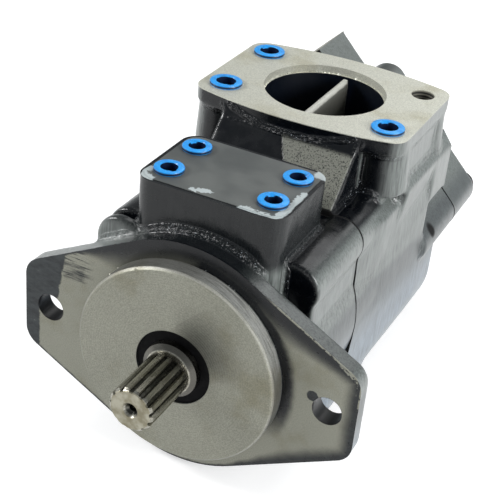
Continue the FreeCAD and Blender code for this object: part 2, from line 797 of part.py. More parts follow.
def kidney(name, inner, outer, y, length, start, span):
    """A curved slot about the shaft's axis."""
    turn = Rotation(Vector(0, 1, 0), -start).multiply(ALONG_Y)
    sector = cylinder(name + "_sector", outer, length, y=y, turn=turn)
    sector.Angle = span
    core = cylinder(name + "_core", inner, length, y=y)
    return cut(name, sector, [core])


def plate_tools(which, y, length, first_kidney, head_y=None):
    """The holes of a side plate: pins, screws and two kidney ports."""
    circle_radius = which + "_pin_circle"
    tools = []
    for angle in (45, 225):
        x, z = polar(circle_radius, angle)
        name = "%s_plate_pin_%d_%d" % (which, first_kidney, angle)
        tools.append(cylinder(name, "pin_radius + slip_fit", length[0], x, y[0], z))
    for angle in (135, 315):
        x, z = polar(circle_radius, angle)
        name = "%s_plate_screw_%d_%d" % (which, first_kidney, angle)
        tools.append(cylinder(name, "screw_radius + slip_fit", length[1], x, y[1], z))
        if head_y:
            name += "_head"
            radius = "screw_head_radius + slip_fit"
            tools.append(cylinder(name, radius, "screw_head_height", x, head_y, z))
    return tools


def make_front_plates():
    y, flange_end = "front_plate_start", "front_ring_start"
    flange = cylinder("front_outlet_flange", "front_ring_radius", "%s - %s" % (flange_end, y), y=y)
    hub_length = "front_plate_start - front_hub_start"
    hub = cylinder("front_outlet_hub", "front_hub_radius", hub_length, y="front_hub_start")
    through = "front_ring_start - front_hub_start"
    tools = [cylinder("front_outlet_bore", "front_plate_bore", through, y="front_hub_start")]
    tools.append(make_hub_groove("front", "front_hub_start + 2.4"))
    thickness = "front_ring_start - front_plate_start"
    tools += plate_tools(
        "front",
        ("front_ring_start - pin_engagement", "front_plate_start"),
        ("pin_engagement", thickness),
        1,
    )
    for start in (110, 290):
        name = "front_outlet_kidney_%d" % start
        inner = "front_hub_radius + 0.6"
        outer = "front_cam_large + 1.4"
        tools.append(kidney(name, "front_rotor_radius - 5", inner, y, thickness, start, 50))
        tools.append(kidney(name + "_relief", inner, outer, y, "5", start, 50))
    outlet = cut("front_outlet_plate", join("front_outlet_blank", [flange, hub]), tools)
    node(outlet, "front_outlet_plate")

    y = "front_ring_end"
    length = "front_inlet_plate_end - front_ring_end"
    blank = cylinder("front_inlet_blank", "front_ring_radius", length, y=y)
    tools = [cylinder("front_inlet_bore", "front_key_tip + 1.2", length, y=y)]
    tools += plate_tools(
        "front", (y, y), ("pin_engagement", length), 2,
        "front_inlet_plate_end - screw_head_height",
    )
    for start in (20, 200):
        name = "front_inlet_kidney_%d" % start
        tools.append(
            kidney(name, "front_rotor_radius - 6", "front_cam_large - 0.6", y, length, start, 50)
        )
    node(cut("front_inlet_plate", blank, tools), "front_inlet_plate")


def make_rear_plates():
    y = "rear_inlet_plate_start"
    length = "rear_ring_start - rear_inlet_plate_start"
    blank = cylinder("rear_inlet_blank", "rear_ring_radius", length, y=y)
    tools = [cylinder("rear_inlet_bore", "middle_radius + 1.2", length, y=y)]
    tools += plate_tools(
        "rear", ("rear_ring_start - pin_engagement", y), ("pin_engagement", length), 1, y
    )
    for start in (20, 200):
        name = "rear_inlet_kidney_%d" % start
        tools.append(
            kidney(name, "rear_rotor_radius - 5", "rear_cam_large - 0.5", y, length, start, 50)
        )
    node(cut("rear_inlet_plate", blank, tools), "rear_inlet_plate")

    y = "rear_ring_end"
    thickness = "rear_plate_end - rear_ring_end"
    flange = cylinder("rear_outlet_flange", "rear_ring_radius", thickness, y=y)
    hub = cylinder(
        "rear_outlet_hub", "rear_hub_radius", "rear_hub_end - rear_plate_end", y="rear_plate_end"
    )
    through = "rear_hub_end - rear_ring_end"
    bushing_bore = "tail_radius + running_fit + bushing_thickness + slip_fit"
    tools = [
        cylinder("rear_outlet_bore", "rear_key_tip + 0.8", through, y=y),
        cylinder(
            "rear_bushing_bore",
            bushing_bore,
            "bushing_length + slip_fit",
            y="tail_end - bushing_length - slip_fit",
        ),
    ]
    tools.append(make_hub_groove("rear", "rear_hub_end - 4.6"))
    tools += plate_tools("rear", (y, y), ("pin_engagement", thickness), 2)
    for start in (110, 290):
        name = "rear_outlet_kidney_%d" % start
        inner = "rear_hub_radius + 0.6"
        tools.append(kidney(name, "rear_rotor_radius - 4", inner, y, thickness, start, 50))
        relief = "rear_plate_end - 5"
        outer = "rear_cam_large + 1"
        tools.append(kidney(name + "_relief", inner, outer, relief, "5", start, 50))
    outlet = cut("rear_outlet_plate", join("rear_outlet_blank", [flange, hub]), tools)
    node(outlet, "rear_outlet_plate")


def make_hub_groove(which, y):
    """The o-ring groove on a plate's hub."""
    floor = which + "_hub_radius - 2 * hub_seal_section - ring_squeeze"
    width = "2 * hub_seal_section + 2 * ring_squeeze + 0.6"
    return ring(which + "_hub_groove", which + "_hub_radius + 1", floor, y, width)


def make_hub_seals():
    half = "hub_seal_section + ring_squeeze + 0.3"
    for which, start in (("front", "front_hub_start + 2.4"), ("rear", "rear_hub_end - 4.6")):
        radius = which + "_hub_radius - hub_seal_section"
        seal = torus(which + "_plate_seal", radius, "hub_seal_section", start + " + " + half)
        node(seal, which + "_plate_seal")


def make_pins_and_screws():
    spans = {
        "front": ("front_ring_start - pin_engagement", "front_ring_end + pin_engagement"),
        "rear": ("rear_ring_start - pin_engagement", "rear_ring_end + pin_engagement"),
    }
    for which, (start, end) in spans.items():
        pins = []
        for angle in (45, 225):
            x, z = polar(which + "_pin_circle", angle)
            name = "%s_pin_%d" % (which, angle)
            pins.append(cylinder(name, "pin_radius", "%s - ( %s )" % (end, start), x, start, z))
        node(group(which + "_locating_pins", pins), which + "_locating_pins")
    heads = {
        "front": ("front_plate_start", "front_inlet_plate_end - screw_head_height", True),
        "rear": ("rear_inlet_plate_start + screw_head_height", "rear_plate_end", False),
    }
    for which, (low, high, head_behind) in heads.items():
        screws = []
        for angle in (135, 315):
            x, z = polar(which + "_pin_circle", angle)
            name = "%s_screw_%d" % (which, angle)
            shank = cylinder(name + "_shank", "screw_radius", "%s - ( %s )" % (high, low), x, low, z)
            head_y = high if head_behind else which + "_inlet_plate_start"
            head = cylinder(name + "_head", "screw_head_radius", "screw_head_height", x, head_y, z)
            socket_y = "front_inlet_plate_end - 3" if head_behind else head_y
            socket = hexagon(name + "_socket", "2.9", "3", x, socket_y, z)
            screws.append(cut(name, join(name + "_blank", [shank, head]), [socket]))
        node(group(which + "_cartridge_screws", screws), which + "_cartridge_screws")


def hexagon(name, radius, length, x, y, z):
    """A six-sided prism along Y, for a socket."""
    thing = doc.addObject("Part::Prism", name)
    thing.Polygon = 6
    thing.Placement = Placement(Vector(0, 0, 0), ALONG_Y)
    bind(thing, "Circumradius", radius)
    bind(thing, "Height", length)
    place(thing, x, y, z)
    return thing


REAR_BOLT_CIRCLE = "( diamond_half * sqrt( 2 ) - diamond_corner * sqrt( 2 ) )"


def make_bolts():
    """Long screws through the inlet body into the front body, short ones through the cover."""
    rows = {
        "front": (BOLT_ANGLES, "front_bolt_circle_radius", "front_joint - front_bolt_grip",
                  "block_end", "bolt_", "hex_"),
        "rear": (REAR_BOLT_ANGLES, REAR_BOLT_CIRCLE, "rear_joint - rear_bolt_grip",
                 "cover_end - counterbore_depth", "rear_", "rear_"),
    }
    for which, (angles, circle_radius, start, seat, kind, socket_kind) in rows.items():
        radius = "bolt_radius" if which == "front" else "rear_bolt_radius"
        head_height = kind + "head_height"
        socket_depth = socket_kind + "socket_depth"
        bolts = []
        for angle in angles:
            x, z = polar(circle_radius, angle)
            name = "%s_bolt_%d" % (which, angle)
            shank = cylinder(name + "_shank", radius, "%s - ( %s )" % (seat, start), x, start, z)
            head = cylinder(name + "_head", kind + "head_radius", head_height, x, seat, z)
            socket_y = "%s + %s - %s" % (seat, head_height, socket_depth)
            socket = hexagon(name + "_socket", socket_kind + "socket_radius", socket_depth,
                             x, socket_y, z)
            bolts.append(cut(name, join(name + "_blank", [shank, head]), [socket]))
        node(group(which + "_bolts", bolts), which + "_bolts")


def make_inlet_body():
    body = new_body("inlet_body_casting")
    turned(
        body,
        "front_barrel",
        [
            ("0", "front_joint"),
            ("barrel_radius", "front_joint"),
            ("barrel_radius", "block_start + 4"),
            ("0", "block_start + 4"),
        ],
    )
    lobes = section_sketch(body, "lobes", "front_joint")
    for i, angle in enumerate(BOLT_ANGLES):
        x, z = polar("front_bolt_circle_radius", angle)
        circle(lobes, x, z, "lobe_radius", "lobe%d" % i)
    extruded(body, "bolt_lobes", lobes, "block_start + 6 - front_joint")
    sections = []
    for name, start, low, bulge, crease, shoulder, top in (
        ("webs", "front_joint", ("web_half", "- web_half", "web_corner"),
         ("barrel_radius", "- bulge_z"), ("waist_half_x", "waist_z"),
         ("web_half", "web_half - web_corner / 2"), ("web_half - web_corner / 2", "web_half")),
        ("nose", "block_start", ("nose_half_x", "- block_bottom", "nose_corner"),
         ("nose_bulge_x", "- nose_bulge_z"), ("nose_half_x", "nose_crease"),
         ("nose_shoulder_x", "nose_shoulder_z"), ("nose_half_top", "nose_top")),
        ("back", "pocket_start", ("block_half_x", "- block_bottom", "block_bottom_corner"),
         ("block_half_x", "- block_bulge_z"), ("block_half_x", "side_crease"),
         ("nose_shoulder_x", "nose_shoulder_z"), ("nose_half_top", "nose_top")),
        ("main", "pocket_start", ("block_half_x", "- block_bottom", "block_bottom_corner"),
         ("block_half_x", "- block_bulge_z"), ("block_half_x", "side_crease"),
         ("block_half_x", "block_shoulder_z"), ("block_shoulder_x", "block_top")),
    ):
        half = [low, bulge, crease, shoulder, top]
        other = [("- ( %s )" % point[0],) + point[1:] for point in reversed(half)]
        sections.append(section_sketch(body, name + "_section", start))
        outline(sections[-1], half + other)
    blended(body, "front_sides", sections[0], sections[1])
    blended(body, "long_sides", sections[1], sections[2])
    extruded(body, "main_block", sections[3], "block_end - pocket_start")
    shoulders = section_sketch(body, "shoulders", "shoulder_start")
    half = [
        ("nose_shoulder_x", "side_crease + 6"),
        ("block_half_x", "block_shoulder_z"),
        ("block_shoulder_x", "block_top"),
    ]
    outline(shoulders, half + [("- ( %s )" % x, z) for x, z in reversed(half)])
    extruded(body, "shoulder_block", shoulders, "pocket_start - shoulder_start")
    pockets = section_sketch(body, "pockets", "pocket_start")
    for side in ("", "- "):
        outline(
            pockets,
            [
                (side + "( diamond_half * sqrt( 2 ) - side_crease )", "side_crease"),
                (side + "( block_half_x + 5 )", "side_crease"),
                (side + "( block_half_x + 5 )", "diamond_half * sqrt( 2 ) - block_half_x - 5"),
            ],
            "right" if side == "" else "left",
        )
    extruded(body, "side_pockets", pockets, "block_end - pocket_start", remove=True)
    diamond = section_sketch(body, "diamond", "pocket_start")
    corner = "diamond_half * sqrt( 2 )"
    outline(
        diamond,
        [
            (corner, "0", "diamond_corner"),
            ("0", corner, "diamond_corner"),
            ("- " + corner, "0", "diamond_corner"),
            ("0", "- " + corner, "diamond_corner"),
        ],
    )
    extruded(body, "diamond_flange", diamond, "rear_joint - pocket_start")
    walls = sketch_on(body, "XY_Plane", "walls")
    low, high = "inlet_y - inlet_bolt_half_y", "inlet_y + inlet_bolt_half_y"
    outline(
        walls,
        [
            ("- column_wall_half_x", low),
            ("column_wall_half_x", low),
            ("column_wall_half_x", high),
            ("- column_wall_half_x", high),
        ],
    )
    extruded(body, "side_walls", walls, "inlet_face")
    saddle = sketch_on(body, "YZ_Plane", "saddle", "- saddle_half_x")
    outline(
        saddle,
        [
            ("front_joint", "20"),
            ("block_end", "20"),
            ("block_end", "inlet_face - 1"),
            ("saddle_top_y", "inlet_face - 1"),
            ("saddle_top_y - 4", "inlet_face - inlet_pad_thickness"),
            ("front_joint", "saddle_foot"),
        ],
    )
    extruded(body, "saddle_neck", saddle, "2 * saddle_half_x")
    pad = make_inlet_pad()
    columns = []
    for i, (x, y) in enumerate(four("inlet_bolt_half_x", "inlet_bolt_half_y")):
        column = doc.addObject("Part::Cone", "inlet_column_%d" % i)
        bind(column, "Radius1", "column_foot_radius")
        bind(column, "Radius2", "column_radius")
        bind(column, "Height", "inlet_face - block_shoulder_z")
        place(column, x, y + " + inlet_y", "block_shoulder_z")
        columns.append(column)
    outside = join("inlet_body_outside", [body, pad] + columns)
    tools = [
        cylinder("front_ring_bore", "front_ring_radius + slip_fit",
                 "front_inlet_plate_end - front_joint", y="front_joint"),
        cylinder("chamber_front", "chamber_radius", "chamber_step - front_inlet_plate_end",
                 y="front_inlet_plate_end"),
        cylinder("chamber_rear", "rear_chamber_radius", "rear_inlet_plate_start - chamber_step",
                 y="chamber_step"),
        cylinder("rear_ring_bore", "rear_ring_radius + slip_fit",
                 "rear_joint - rear_inlet_plate_start", y="rear_inlet_plate_start"),
        cylinder("inlet_throat", "inlet_throat_radius", "inlet_face", y="inlet_y",
                 turn=Rotation()),
        cylinder("inlet_rim", "inlet_port_radius", "inlet_rim_depth", y="inlet_y",
                 z="inlet_face - inlet_rim_depth", turn=Rotation()),
    ]
    tools.append(joint_groove("front"))
    for i, (x, y) in enumerate(four("inlet_bolt_half_x", "inlet_bolt_half_y")):
        tools.append(
            cylinder("inlet_thread_%d" % i, "inlet_thread_radius", "inlet_thread_depth", x,
                     y + " + inlet_y", "inlet_face - inlet_thread_depth", turn=Rotation())
        )
    for angle in BOLT_ANGLES:
        x, z = polar("front_bolt_circle_radius", angle)
        tools.append(
            cylinder("front_bolt_hole_%d" % angle, "bolt_radius + bolt_clearance",
                     "block_end - front_joint", x, "front_joint", z)
        )
    for angle in REAR_BOLT_ANGLES:
        x, z = polar(REAR_BOLT_CIRCLE, angle)
        tools.append(
            cylinder("rear_tap_%d" % angle, "rear_bolt_radius + thread_clearance",
                     "rear_bolt_grip + 2", x, "rear_joint - rear_bolt_grip - 2", z)
        )
    hollow = cut("inlet_body_hollow", outside, tools)
    rib_start = "front_inlet_plate_end + 4"
    rib_length = "rear_inlet_plate_start - front_inlet_plate_end - 8"
    rib_top = "inlet_face - rib_drop - rib_thickness / 2"
    rib = block(
        "inlet_rib",
        "- rib_thickness / 2",
        rib_start,
        "middle_radius + 8",
        "rib_thickness",
        rib_length,
        rib_top + " - middle_radius - 8",
    )
    crest = cylinder("inlet_rib_crest", "rib_thickness / 2", rib_length, y=rib_start, z=rib_top)
    ribs = common(
        "inlet_rib_in_throat",
        [
            join("inlet_rib_blank", [rib, crest]),
            cylinder("inlet_rib_limit", "inlet_port_radius + 3", "inlet_face", y="inlet_y",
                     turn=Rotation()),
        ],
    )
    return node(join("inlet_body", [hollow, ribs]), "inlet_body")


def make_inlet_pad():
    """The inlet's flange plate: bowed front and rear edges, straight sides and round corners."""
    z = "inlet_face - inlet_pad_thickness"
    bows = []
    for name, y in (
        ("front", "inlet_y - inlet_pad_half_y + inlet_pad_bow"),
        ("rear", "inlet_y + inlet_pad_half_y - inlet_pad_bow"),
    ):
        bows.append(
            cylinder("inlet_pad_%s_bow" % name, "inlet_pad_bow", "inlet_pad_thickness", y=y, z=z,
                     turn=Rotation())
        )
    corner_x = "( inlet_pad_half_x - inlet_pad_corner )"
    reach = "( inlet_pad_bow - inlet_pad_corner )"
    corner_y = "( inlet_pad_half_y - inlet_pad_bow + sqrt( %s ^ 2 - %s ^ 2 ) )" % (reach, corner_x)
    touch_x = "%s * inlet_pad_bow / %s" % (corner_x, reach)
    middle = common(
        "inlet_pad_middle",
        bows + [block("inlet_pad_span", "- " + touch_x, "inlet_y - inlet_pad_half_y - 1", z,
                      "2 * " + touch_x, "2 * inlet_pad_half_y + 2", "inlet_pad_thickness")],
    )
    wide = block("inlet_pad_wide", "- inlet_pad_half_x", "inlet_y - " + corner_y, z,
                 "2 * inlet_pad_half_x", "2 * " + corner_y, "inlet_pad_thickness")
    corners = [
        cylinder("inlet_pad_corner_%d" % i, "inlet_pad_corner", "inlet_pad_thickness", x,
                 y + " + inlet_y", z, turn=Rotation())
        for i, (x, y) in enumerate(four(corner_x, corner_y))
    ]
    return join("inlet_pad", [middle, wide] + corners)


def make_rear_cover():
    body = new_body("rear_cover_casting")
    diamond = section_sketch(body, "diamond", "rear_joint")
    corner = "diamond_half * sqrt( 2 )"
    outline(
        diamond,
        [
            (corner, "0", "diamond_corner"),
            ("0", corner, "diamond_corner"),
            ("- " + corner, "0", "diamond_corner"),
            ("0", "- " + corner, "diamond_corner"),
        ],
    )
    extruded(body, "cover_block", diamond, "cover_end - rear_joint")
    across = Rotation(Vector(0, 1, 0), -45)
    pad = doc.addObject("Part::Box", "rear_outlet_pad")
    pad.Placement = Placement(Vector(0, 0, 0), across)
    bind(pad, "Length", "2 * rear_outlet_half_width")
    bind(pad, "Width", "cover_end - rear_joint")
    bind(pad, "Height", "rear_outlet_face")
    corner_x = "- rear_outlet_half_width * cos( 45 deg )"
    place(pad, corner_x, "rear_joint", corner_x)
    middle = "( rear_joint + cover_end ) / 2"
    port = cylinder("rear_outlet_port", "rear_outlet_radius", "rear_outlet_face - rear_hub_radius - 1",
                    turn=across)
    place(port, "- ( rear_hub_radius + 1 ) * cos( 45 deg )", middle,
          "( rear_hub_radius + 1 ) * cos( 45 deg )")
    depth = "rear_outlet_face - rear_outlet_thread_depth"
    tools = [port]
    for i, (a, b) in enumerate(four("rear_outlet_bolt_across", "rear_outlet_bolt_along")):
        hole = cylinder("rear_outlet_thread_%d" % i, "rear_outlet_thread_radius",
                        "rear_outlet_thread_depth", turn=across)
        place(hole, "( %s - ( %s ) ) * cos( 45 deg )" % (a, depth), "%s + %s" % (b, middle),
              "( %s + %s ) * cos( 45 deg )" % (a, depth))
        tools.append(hole)
    tools.append(cylinder("cover_cavity", "rear_ring_radius + slip_fit",
                          "cover_end - cover_wall - rear_joint", y="rear_joint"))
    tools.append(joint_groove("rear"))
    for angle in REAR_BOLT_ANGLES:
        x, z = polar(REAR_BOLT_CIRCLE, angle)
        tools.append(cylinder("cover_hole_%d" % angle, "rear_bolt_radius + bolt_clearance",
                              "cover_end - rear_joint", x, "rear_joint", z))
        tools.append(cylinder("cover_counterbore_%d" % angle, "counterbore_radius",
                              "counterbore_depth", x, "cover_end - counterbore_depth", z))
    top_boss = cylinder("cover_top_boss", "top_boss_radius", "cover_end - rear_joint",
                        y="rear_joint", z=REAR_BOLT_CIRCLE)
    outside = join("rear_cover_outside", [body, pad, top_boss])
    return node(cut("rear_cover", outside, tools), "rear_cover")


def make_bearing():
    y, width = "bearing_start", "bearing_width"
    middle = "bearing_start + bearing_width / 2"
    groove = torus("race_groove_outer", "ball_circle_radius", "ball_radius + running_fit", middle)
    outer = cut(
        "bearing_outer_race",
        ring("outer_race_blank", "bearing_outer", "outer_land", y, width),
        [groove],
    )
    node(outer, "bearing_outer_race")
    groove = torus("race_groove_inner", "ball_circle_radius", "ball_radius + running_fit", middle)
    inner = cut(
        "bearing_inner_race",
        ring("inner_race_blank", "inner_land", "seat_radius + slip_fit", y, width),
        [groove],
    )
    node(inner, "bearing_inner_race")
    balls, pockets = [], []
    for i in range(BALL_COUNT):
        x, z = polar("ball_circle_radius", 360.0 / BALL_COUNT * i)
        balls.append(ball("ball_%d" % (i + 1), "ball_radius", x, middle, z))
        pocket = cylinder("pocket_%d" % (i + 1), "ball_radius + pocket_gap", "cage_thickness + 4",
                          turn=Rotation(Vector(0, 1, 0), 90 - 360.0 / BALL_COUNT * i))
        x, z = polar("ball_circle_radius - cage_thickness / 2 - 2", 360.0 / BALL_COUNT * i)
        place(pocket, x, middle, z)
        pockets.append(pocket)
    node(group("bearing_balls", balls), "bearing_balls")
    blank = ring(
        "cage_blank",
        "ball_circle_radius + cage_thickness / 2",
        "ball_circle_radius - cage_thickness / 2",
        "bearing_start + bearing_width / 2 - cage_width / 2",
        "cage_width",
    )
    node(cut("bearing_cage", blank, pockets), "bearing_cage")


def make_retainers():
    """Open spring rings: one in the front body behind the bearing, one on the shaft before it."""
    y = "bearing_start + bearing_width"
    outer = "bearing_outer + retainer_groove - slip_fit"
    inner = outer + " - retainer_width"
    blank = ring("bearing_retainer_blank", outer, inner, y, "retainer_thickness")
    gap = spoke("bearing_retainer_gap", inner + " - 1", outer + " + 1", "9", y,
                "retainer_thickness", 270)
    node(cut("bearing_retaining_ring", blank, [gap]), "bearing_retaining_ring")
    y = "bearing_start - retainer_thickness"
    inner = "collar_radius + slip_fit"
    outer = inner + " + shaft_retainer_width"
    blank = ring("shaft_retainer_blank", outer, inner, y, "retainer_thickness")
    gap = spoke("shaft_retainer_gap", inner + " - 1", outer + " + 1", "6", y,
                "retainer_thickness", 270)
    node(cut("shaft_retaining_ring", blank, [gap]), "shaft_retaining_ring")


def make_shaft_seal():
    """A steel case pressed into the pilot's bore, and a rubber lip that runs on the collar."""
    front = "seal_recess - pilot_length"
    body = new_body("seal_case")
    turned(
        body,
        "case",
        [
            ("seal_bore_radius - slip_fit - seal_wall", front),
            ("seal_bore_radius - slip_fit", front),
            ("seal_bore_radius - slip_fit", front + " + seal_width"),
            ("seal_case_bore", front + " + seal_width"),
            ("seal_case_bore", front + " + seal_width - seal_wall"),
            ("seal_bore_radius - slip_fit - seal_wall", front + " + seal_width - seal_wall"),
        ],
    )
    node(body, "seal_case")
    body = new_body("shaft_seal")
    outer = "seal_bore_radius - slip_fit - seal_wall"
    lip = "collar_radius + seal_lip_gap"
    turned(
        body,
        "lip",
        [
            (outer, front),
            (outer, front + " + seal_width - seal_wall"),
            ("seal_case_bore", front + " + seal_width - seal_wall"),
            ("seal_case_bore", front + " + 3"),
            (lip + " + 0.8", front + " + 5.4"),
            (lip, front + " + 5"),
            (lip, front + " + 4.2"),
            (lip + " + 0.7", front + " + 2.4"),
            (lip, front + " + 0.6"),
            (lip, front),
        ],
    )
    node(body, "shaft_seal")


def make_bushing():
    inner = "tail_radius + running_fit"
    bushing = ring("rear_shaft_bushing", inner + " + bushing_thickness", inner,
                   "tail_end - bushing_length", "bushing_length")
    node(bushing, "rear_shaft_bushing")


def make_joint_seals():
    """O-rings in the face grooves of the two body joints."""
    section = "joint_ring_section"
    for which in ("front", "rear"):
        radius = which + "_ring_radius + slip_fit + groove_lip + " + section
        seal = torus(which + "_joint_o_ring", radius, section, which + "_joint + " + section)
        node(seal, which + "_joint_o_ring")


def joint_groove(which):
    """The face groove that holds a joint's o-ring."""
    inner = which + "_ring_radius + slip_fit + groove_lip - ring_squeeze"
    outer = inner + " + 2 * joint_ring_section + 2 * ring_squeeze"
    depth = "2 * joint_ring_section + ring_squeeze"
    return ring(which + "_joint_groove", outer, inner, which + "_joint", depth)


def make_plugs():
    """Soft plugs for transport: a flange and a hollow stem that fits the thread."""
    sets = {
        "outlet": ("outlet_bolt_half_x", "outlet_bolt_half_y", "outlet_y", "outlet_face",
                   "film_thickness", 4),
        "inlet": ("inlet_bolt_half_x", "inlet_bolt_half_y", "inlet_y", "inlet_face", "0", 3),
    }
    for which, (half_x, half_y, y_centre, face, lift, count) in sets.items():
        plugs = []
        places = four(half_x, half_y)
        if which == "inlet":
            places = places[1:]
        for i, (x, y) in enumerate(places):
            name = "%s_plug_%d" % (which, i + 1)
            stem = which + "_thread_radius - thread_clearance"
            y = y + " + " + y_centre
            top = cylinder(name + "_flange", which + "_plug_radius", "plug_flange_height", x, y,
                           "%s + %s" % (face, lift), turn=Rotation())
            shank = cylinder(name + "_stem", stem, "plug_length + " + lift, x, y,
                             "%s - plug_length" % face, turn=Rotation())
            hollow = cylinder(name + "_hollow", stem + " - plug_wall",
                              "plug_length + plug_flange_height + %s - 1" % lift, x, y,
                              "%s - plug_length + 1" % face, turn=Rotation())
            plugs.append(cut(name, join(name + "_blank", [top, shank]), [hollow]))
        node(group(which + "_thread_plugs", plugs), which + "_thread_plugs")


def make_outlet_film():
    """A thin sheet that covers the front outlet for transport, pierced by the thread plugs."""
    half_x = "outlet_pad_half_x - film_margin"
    half_y = "outlet_pad_half_y - film_margin"
    body = new_body("outlet_film")
    sketch = sketch_on(body, "XY_Plane", "film_outline", "outlet_face")
    low, high = "outlet_y - ( %s )" % half_y, "outlet_y + %s" % half_y
    corner = "outlet_pad_corner - film_margin"
    outline(
        sketch,
        [
            ("- ( %s )" % half_x, low, corner),
            (half_x, low, corner),
            (half_x, high, corner),
            ("- ( %s )" % half_x, high, corner),
        ],
    )
    extruded(body, "sheet", sketch, "film_thickness")
    holes = sketch_on(body, "XY_Plane", "film_holes", "outlet_face + film_thickness")
    for i, (x, y) in enumerate(four("outlet_bolt_half_x", "outlet_bolt_half_y")):
        circle(holes, x, y + " + outlet_y", "outlet_thread_radius", "hole%d" % i)
    extruded(body, "pierced", holes, "film_thickness", remove=True)
    node(body, "outlet_cover_sheet")


make_front_body()
make_inlet_body()
make_rear_cover()
make_drive_shaft()
make_bearing()
make_retainers()
make_shaft_seal()
make_bushing()
for which, phase in (("front", FRONT_VANE_PHASE), ("rear", REAR_VANE_PHASE)):
    make_cam_ring(which)
    make_rotor(which, phase)
    make_vanes(which, phase)
make_front_plates()
make_rear_plates()
make_hub_seals()
make_pins_and_screws()
make_joint_seals()
make_bolts()
make_plugs()
make_outlet_film()

doc.recompute()
for thing in doc.Objects:
    if "Invalid" in thing.State or "Error" in thing.State:
        raise RuntimeError("%s failed: %s" % (thing.Label, thing.State))
for thing in nodes:
    if thing.Shape.isNull() or not thing.Shape.isValid():
        raise RuntimeError("%s has no valid shape" % thing.Label)

os.makedirs("parts", exist_ok=True)
for thing in nodes:
    thing.Shape.exportStep("parts/%s.step" % thing.Label)
print("%d nodes written" % len(nodes))
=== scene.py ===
import functools
import math

import bmesh
import bpy
import numpy as np
from mathutils import Matrix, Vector
from mathutils.bvhtree import BVHTree
from mathutils.kdtree import KDTree


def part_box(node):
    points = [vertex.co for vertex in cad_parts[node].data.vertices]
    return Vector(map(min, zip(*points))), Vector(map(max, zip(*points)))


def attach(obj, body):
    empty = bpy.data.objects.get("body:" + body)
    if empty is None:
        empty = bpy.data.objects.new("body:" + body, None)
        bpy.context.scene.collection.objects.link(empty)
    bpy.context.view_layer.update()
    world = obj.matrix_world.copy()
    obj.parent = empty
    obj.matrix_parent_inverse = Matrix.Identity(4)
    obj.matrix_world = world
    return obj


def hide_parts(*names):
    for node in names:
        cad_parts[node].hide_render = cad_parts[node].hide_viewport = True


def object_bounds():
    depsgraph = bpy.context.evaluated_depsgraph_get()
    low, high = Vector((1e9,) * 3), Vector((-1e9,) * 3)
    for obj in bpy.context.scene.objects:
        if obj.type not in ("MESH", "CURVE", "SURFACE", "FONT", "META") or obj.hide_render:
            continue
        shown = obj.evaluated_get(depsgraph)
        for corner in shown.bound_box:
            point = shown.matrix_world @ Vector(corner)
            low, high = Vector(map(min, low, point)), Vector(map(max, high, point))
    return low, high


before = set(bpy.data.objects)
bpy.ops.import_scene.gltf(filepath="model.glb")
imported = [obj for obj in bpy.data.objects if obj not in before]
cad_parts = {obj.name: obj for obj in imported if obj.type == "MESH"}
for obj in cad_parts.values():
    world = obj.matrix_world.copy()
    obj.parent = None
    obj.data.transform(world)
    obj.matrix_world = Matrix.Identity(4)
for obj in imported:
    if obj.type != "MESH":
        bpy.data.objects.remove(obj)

cad_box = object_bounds()


# The castings: front body, inlet body and rear cover.
# Grey iron, sand cast, milled and bored where other parts meet them, then
# sprayed thick glossy black with the sealing faces masked or wiped clean.

SKIN_STEP = 0.0007
SKIN_TRIANGLES = {"front_body": 185000, "inlet_body": 195000, "rear_cover": 120000}
EDGE_PULL = 0.62
SMOOTHING_ROUNDS = 14
SHARP_CORNER = math.radians(42)


def end_of(node, corner, axis):
    """Where a node's box starts (corner 0) or ends (corner 1) along an axis, in millimetres."""
    return round(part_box(node)[corner][axis] * 1000, 3)


FLANGE_REACH = end_of("front_body", 1, 0)
FLANGE_ARC = -end_of("front_body", 0, 2)
FRONT_JOINT = end_of("front_body", 1, 1)
REAR_JOINT = end_of("inlet_body", 1, 1)
OUTLET_TOP = end_of("front_body", 1, 2)
INLET_TOP = end_of("inlet_body", 1, 2)
PILOT_RADIUS = 50.8
FLANGE_HOLE = 73.0
OUTLET_Y = 37.8
OUTLET_HOLES = (52.37, 26.19)
OUTLET_PAD = (74.0, 54.0)
INLET_Y = 139.5
INLET_HOLES = (88.9, 50.8)
REAR_OUTLET_Y = 225.5
REAR_OUTLET_FACE = 77.1
REAR_SCREW_CIRCLE = 53.17
DIAGONAL = math.sqrt(0.5)


def merged_solid(node):
    """A copy of a machined solid's mesh in which the loose triangles share their corners."""
    solid = bmesh.new()
    solid.from_mesh(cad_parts[node].data)
    bmesh.ops.remove_doubles(solid, verts=solid.verts, dist=1e-6)
    return solid


def plain_mesh(piece):
    """The piece's mesh as its modifiers leave it, with the modifiers gone."""
    graph = bpy.context.evaluated_depsgraph_get()
    graph.update()
    finished = bpy.data.meshes.new_from_object(piece.evaluated_get(graph))
    piece.modifiers.clear()
    piece.data = finished
    return piece


def points_of(mesh):
    """The mesh's points in millimetres."""
    flat = np.empty(len(mesh.vertices) * 3)
    mesh.vertices.foreach_get("co", flat)
    return flat.reshape(-1, 3) * 1000


def normals_of(mesh):
    flat = np.empty(len(mesh.vertices) * 3, np.float32)
    mesh.vertex_normals.foreach_get("vector", flat)
    return flat.reshape(-1, 3).astype(float)


def nearest_on_solid(solid, points):
    """The closest point on the solid for each point, and the face normal there."""
    tree = BVHTree.FromBMesh(solid)
    spots = np.empty_like(points)
    normals = np.empty_like(points)
    for i, point in enumerate(points / 1000):
        spot, normal, _, _ = tree.find_nearest(point)
        spots[i] = spot
        normals[i] = normal
    return spots * 1000, normals


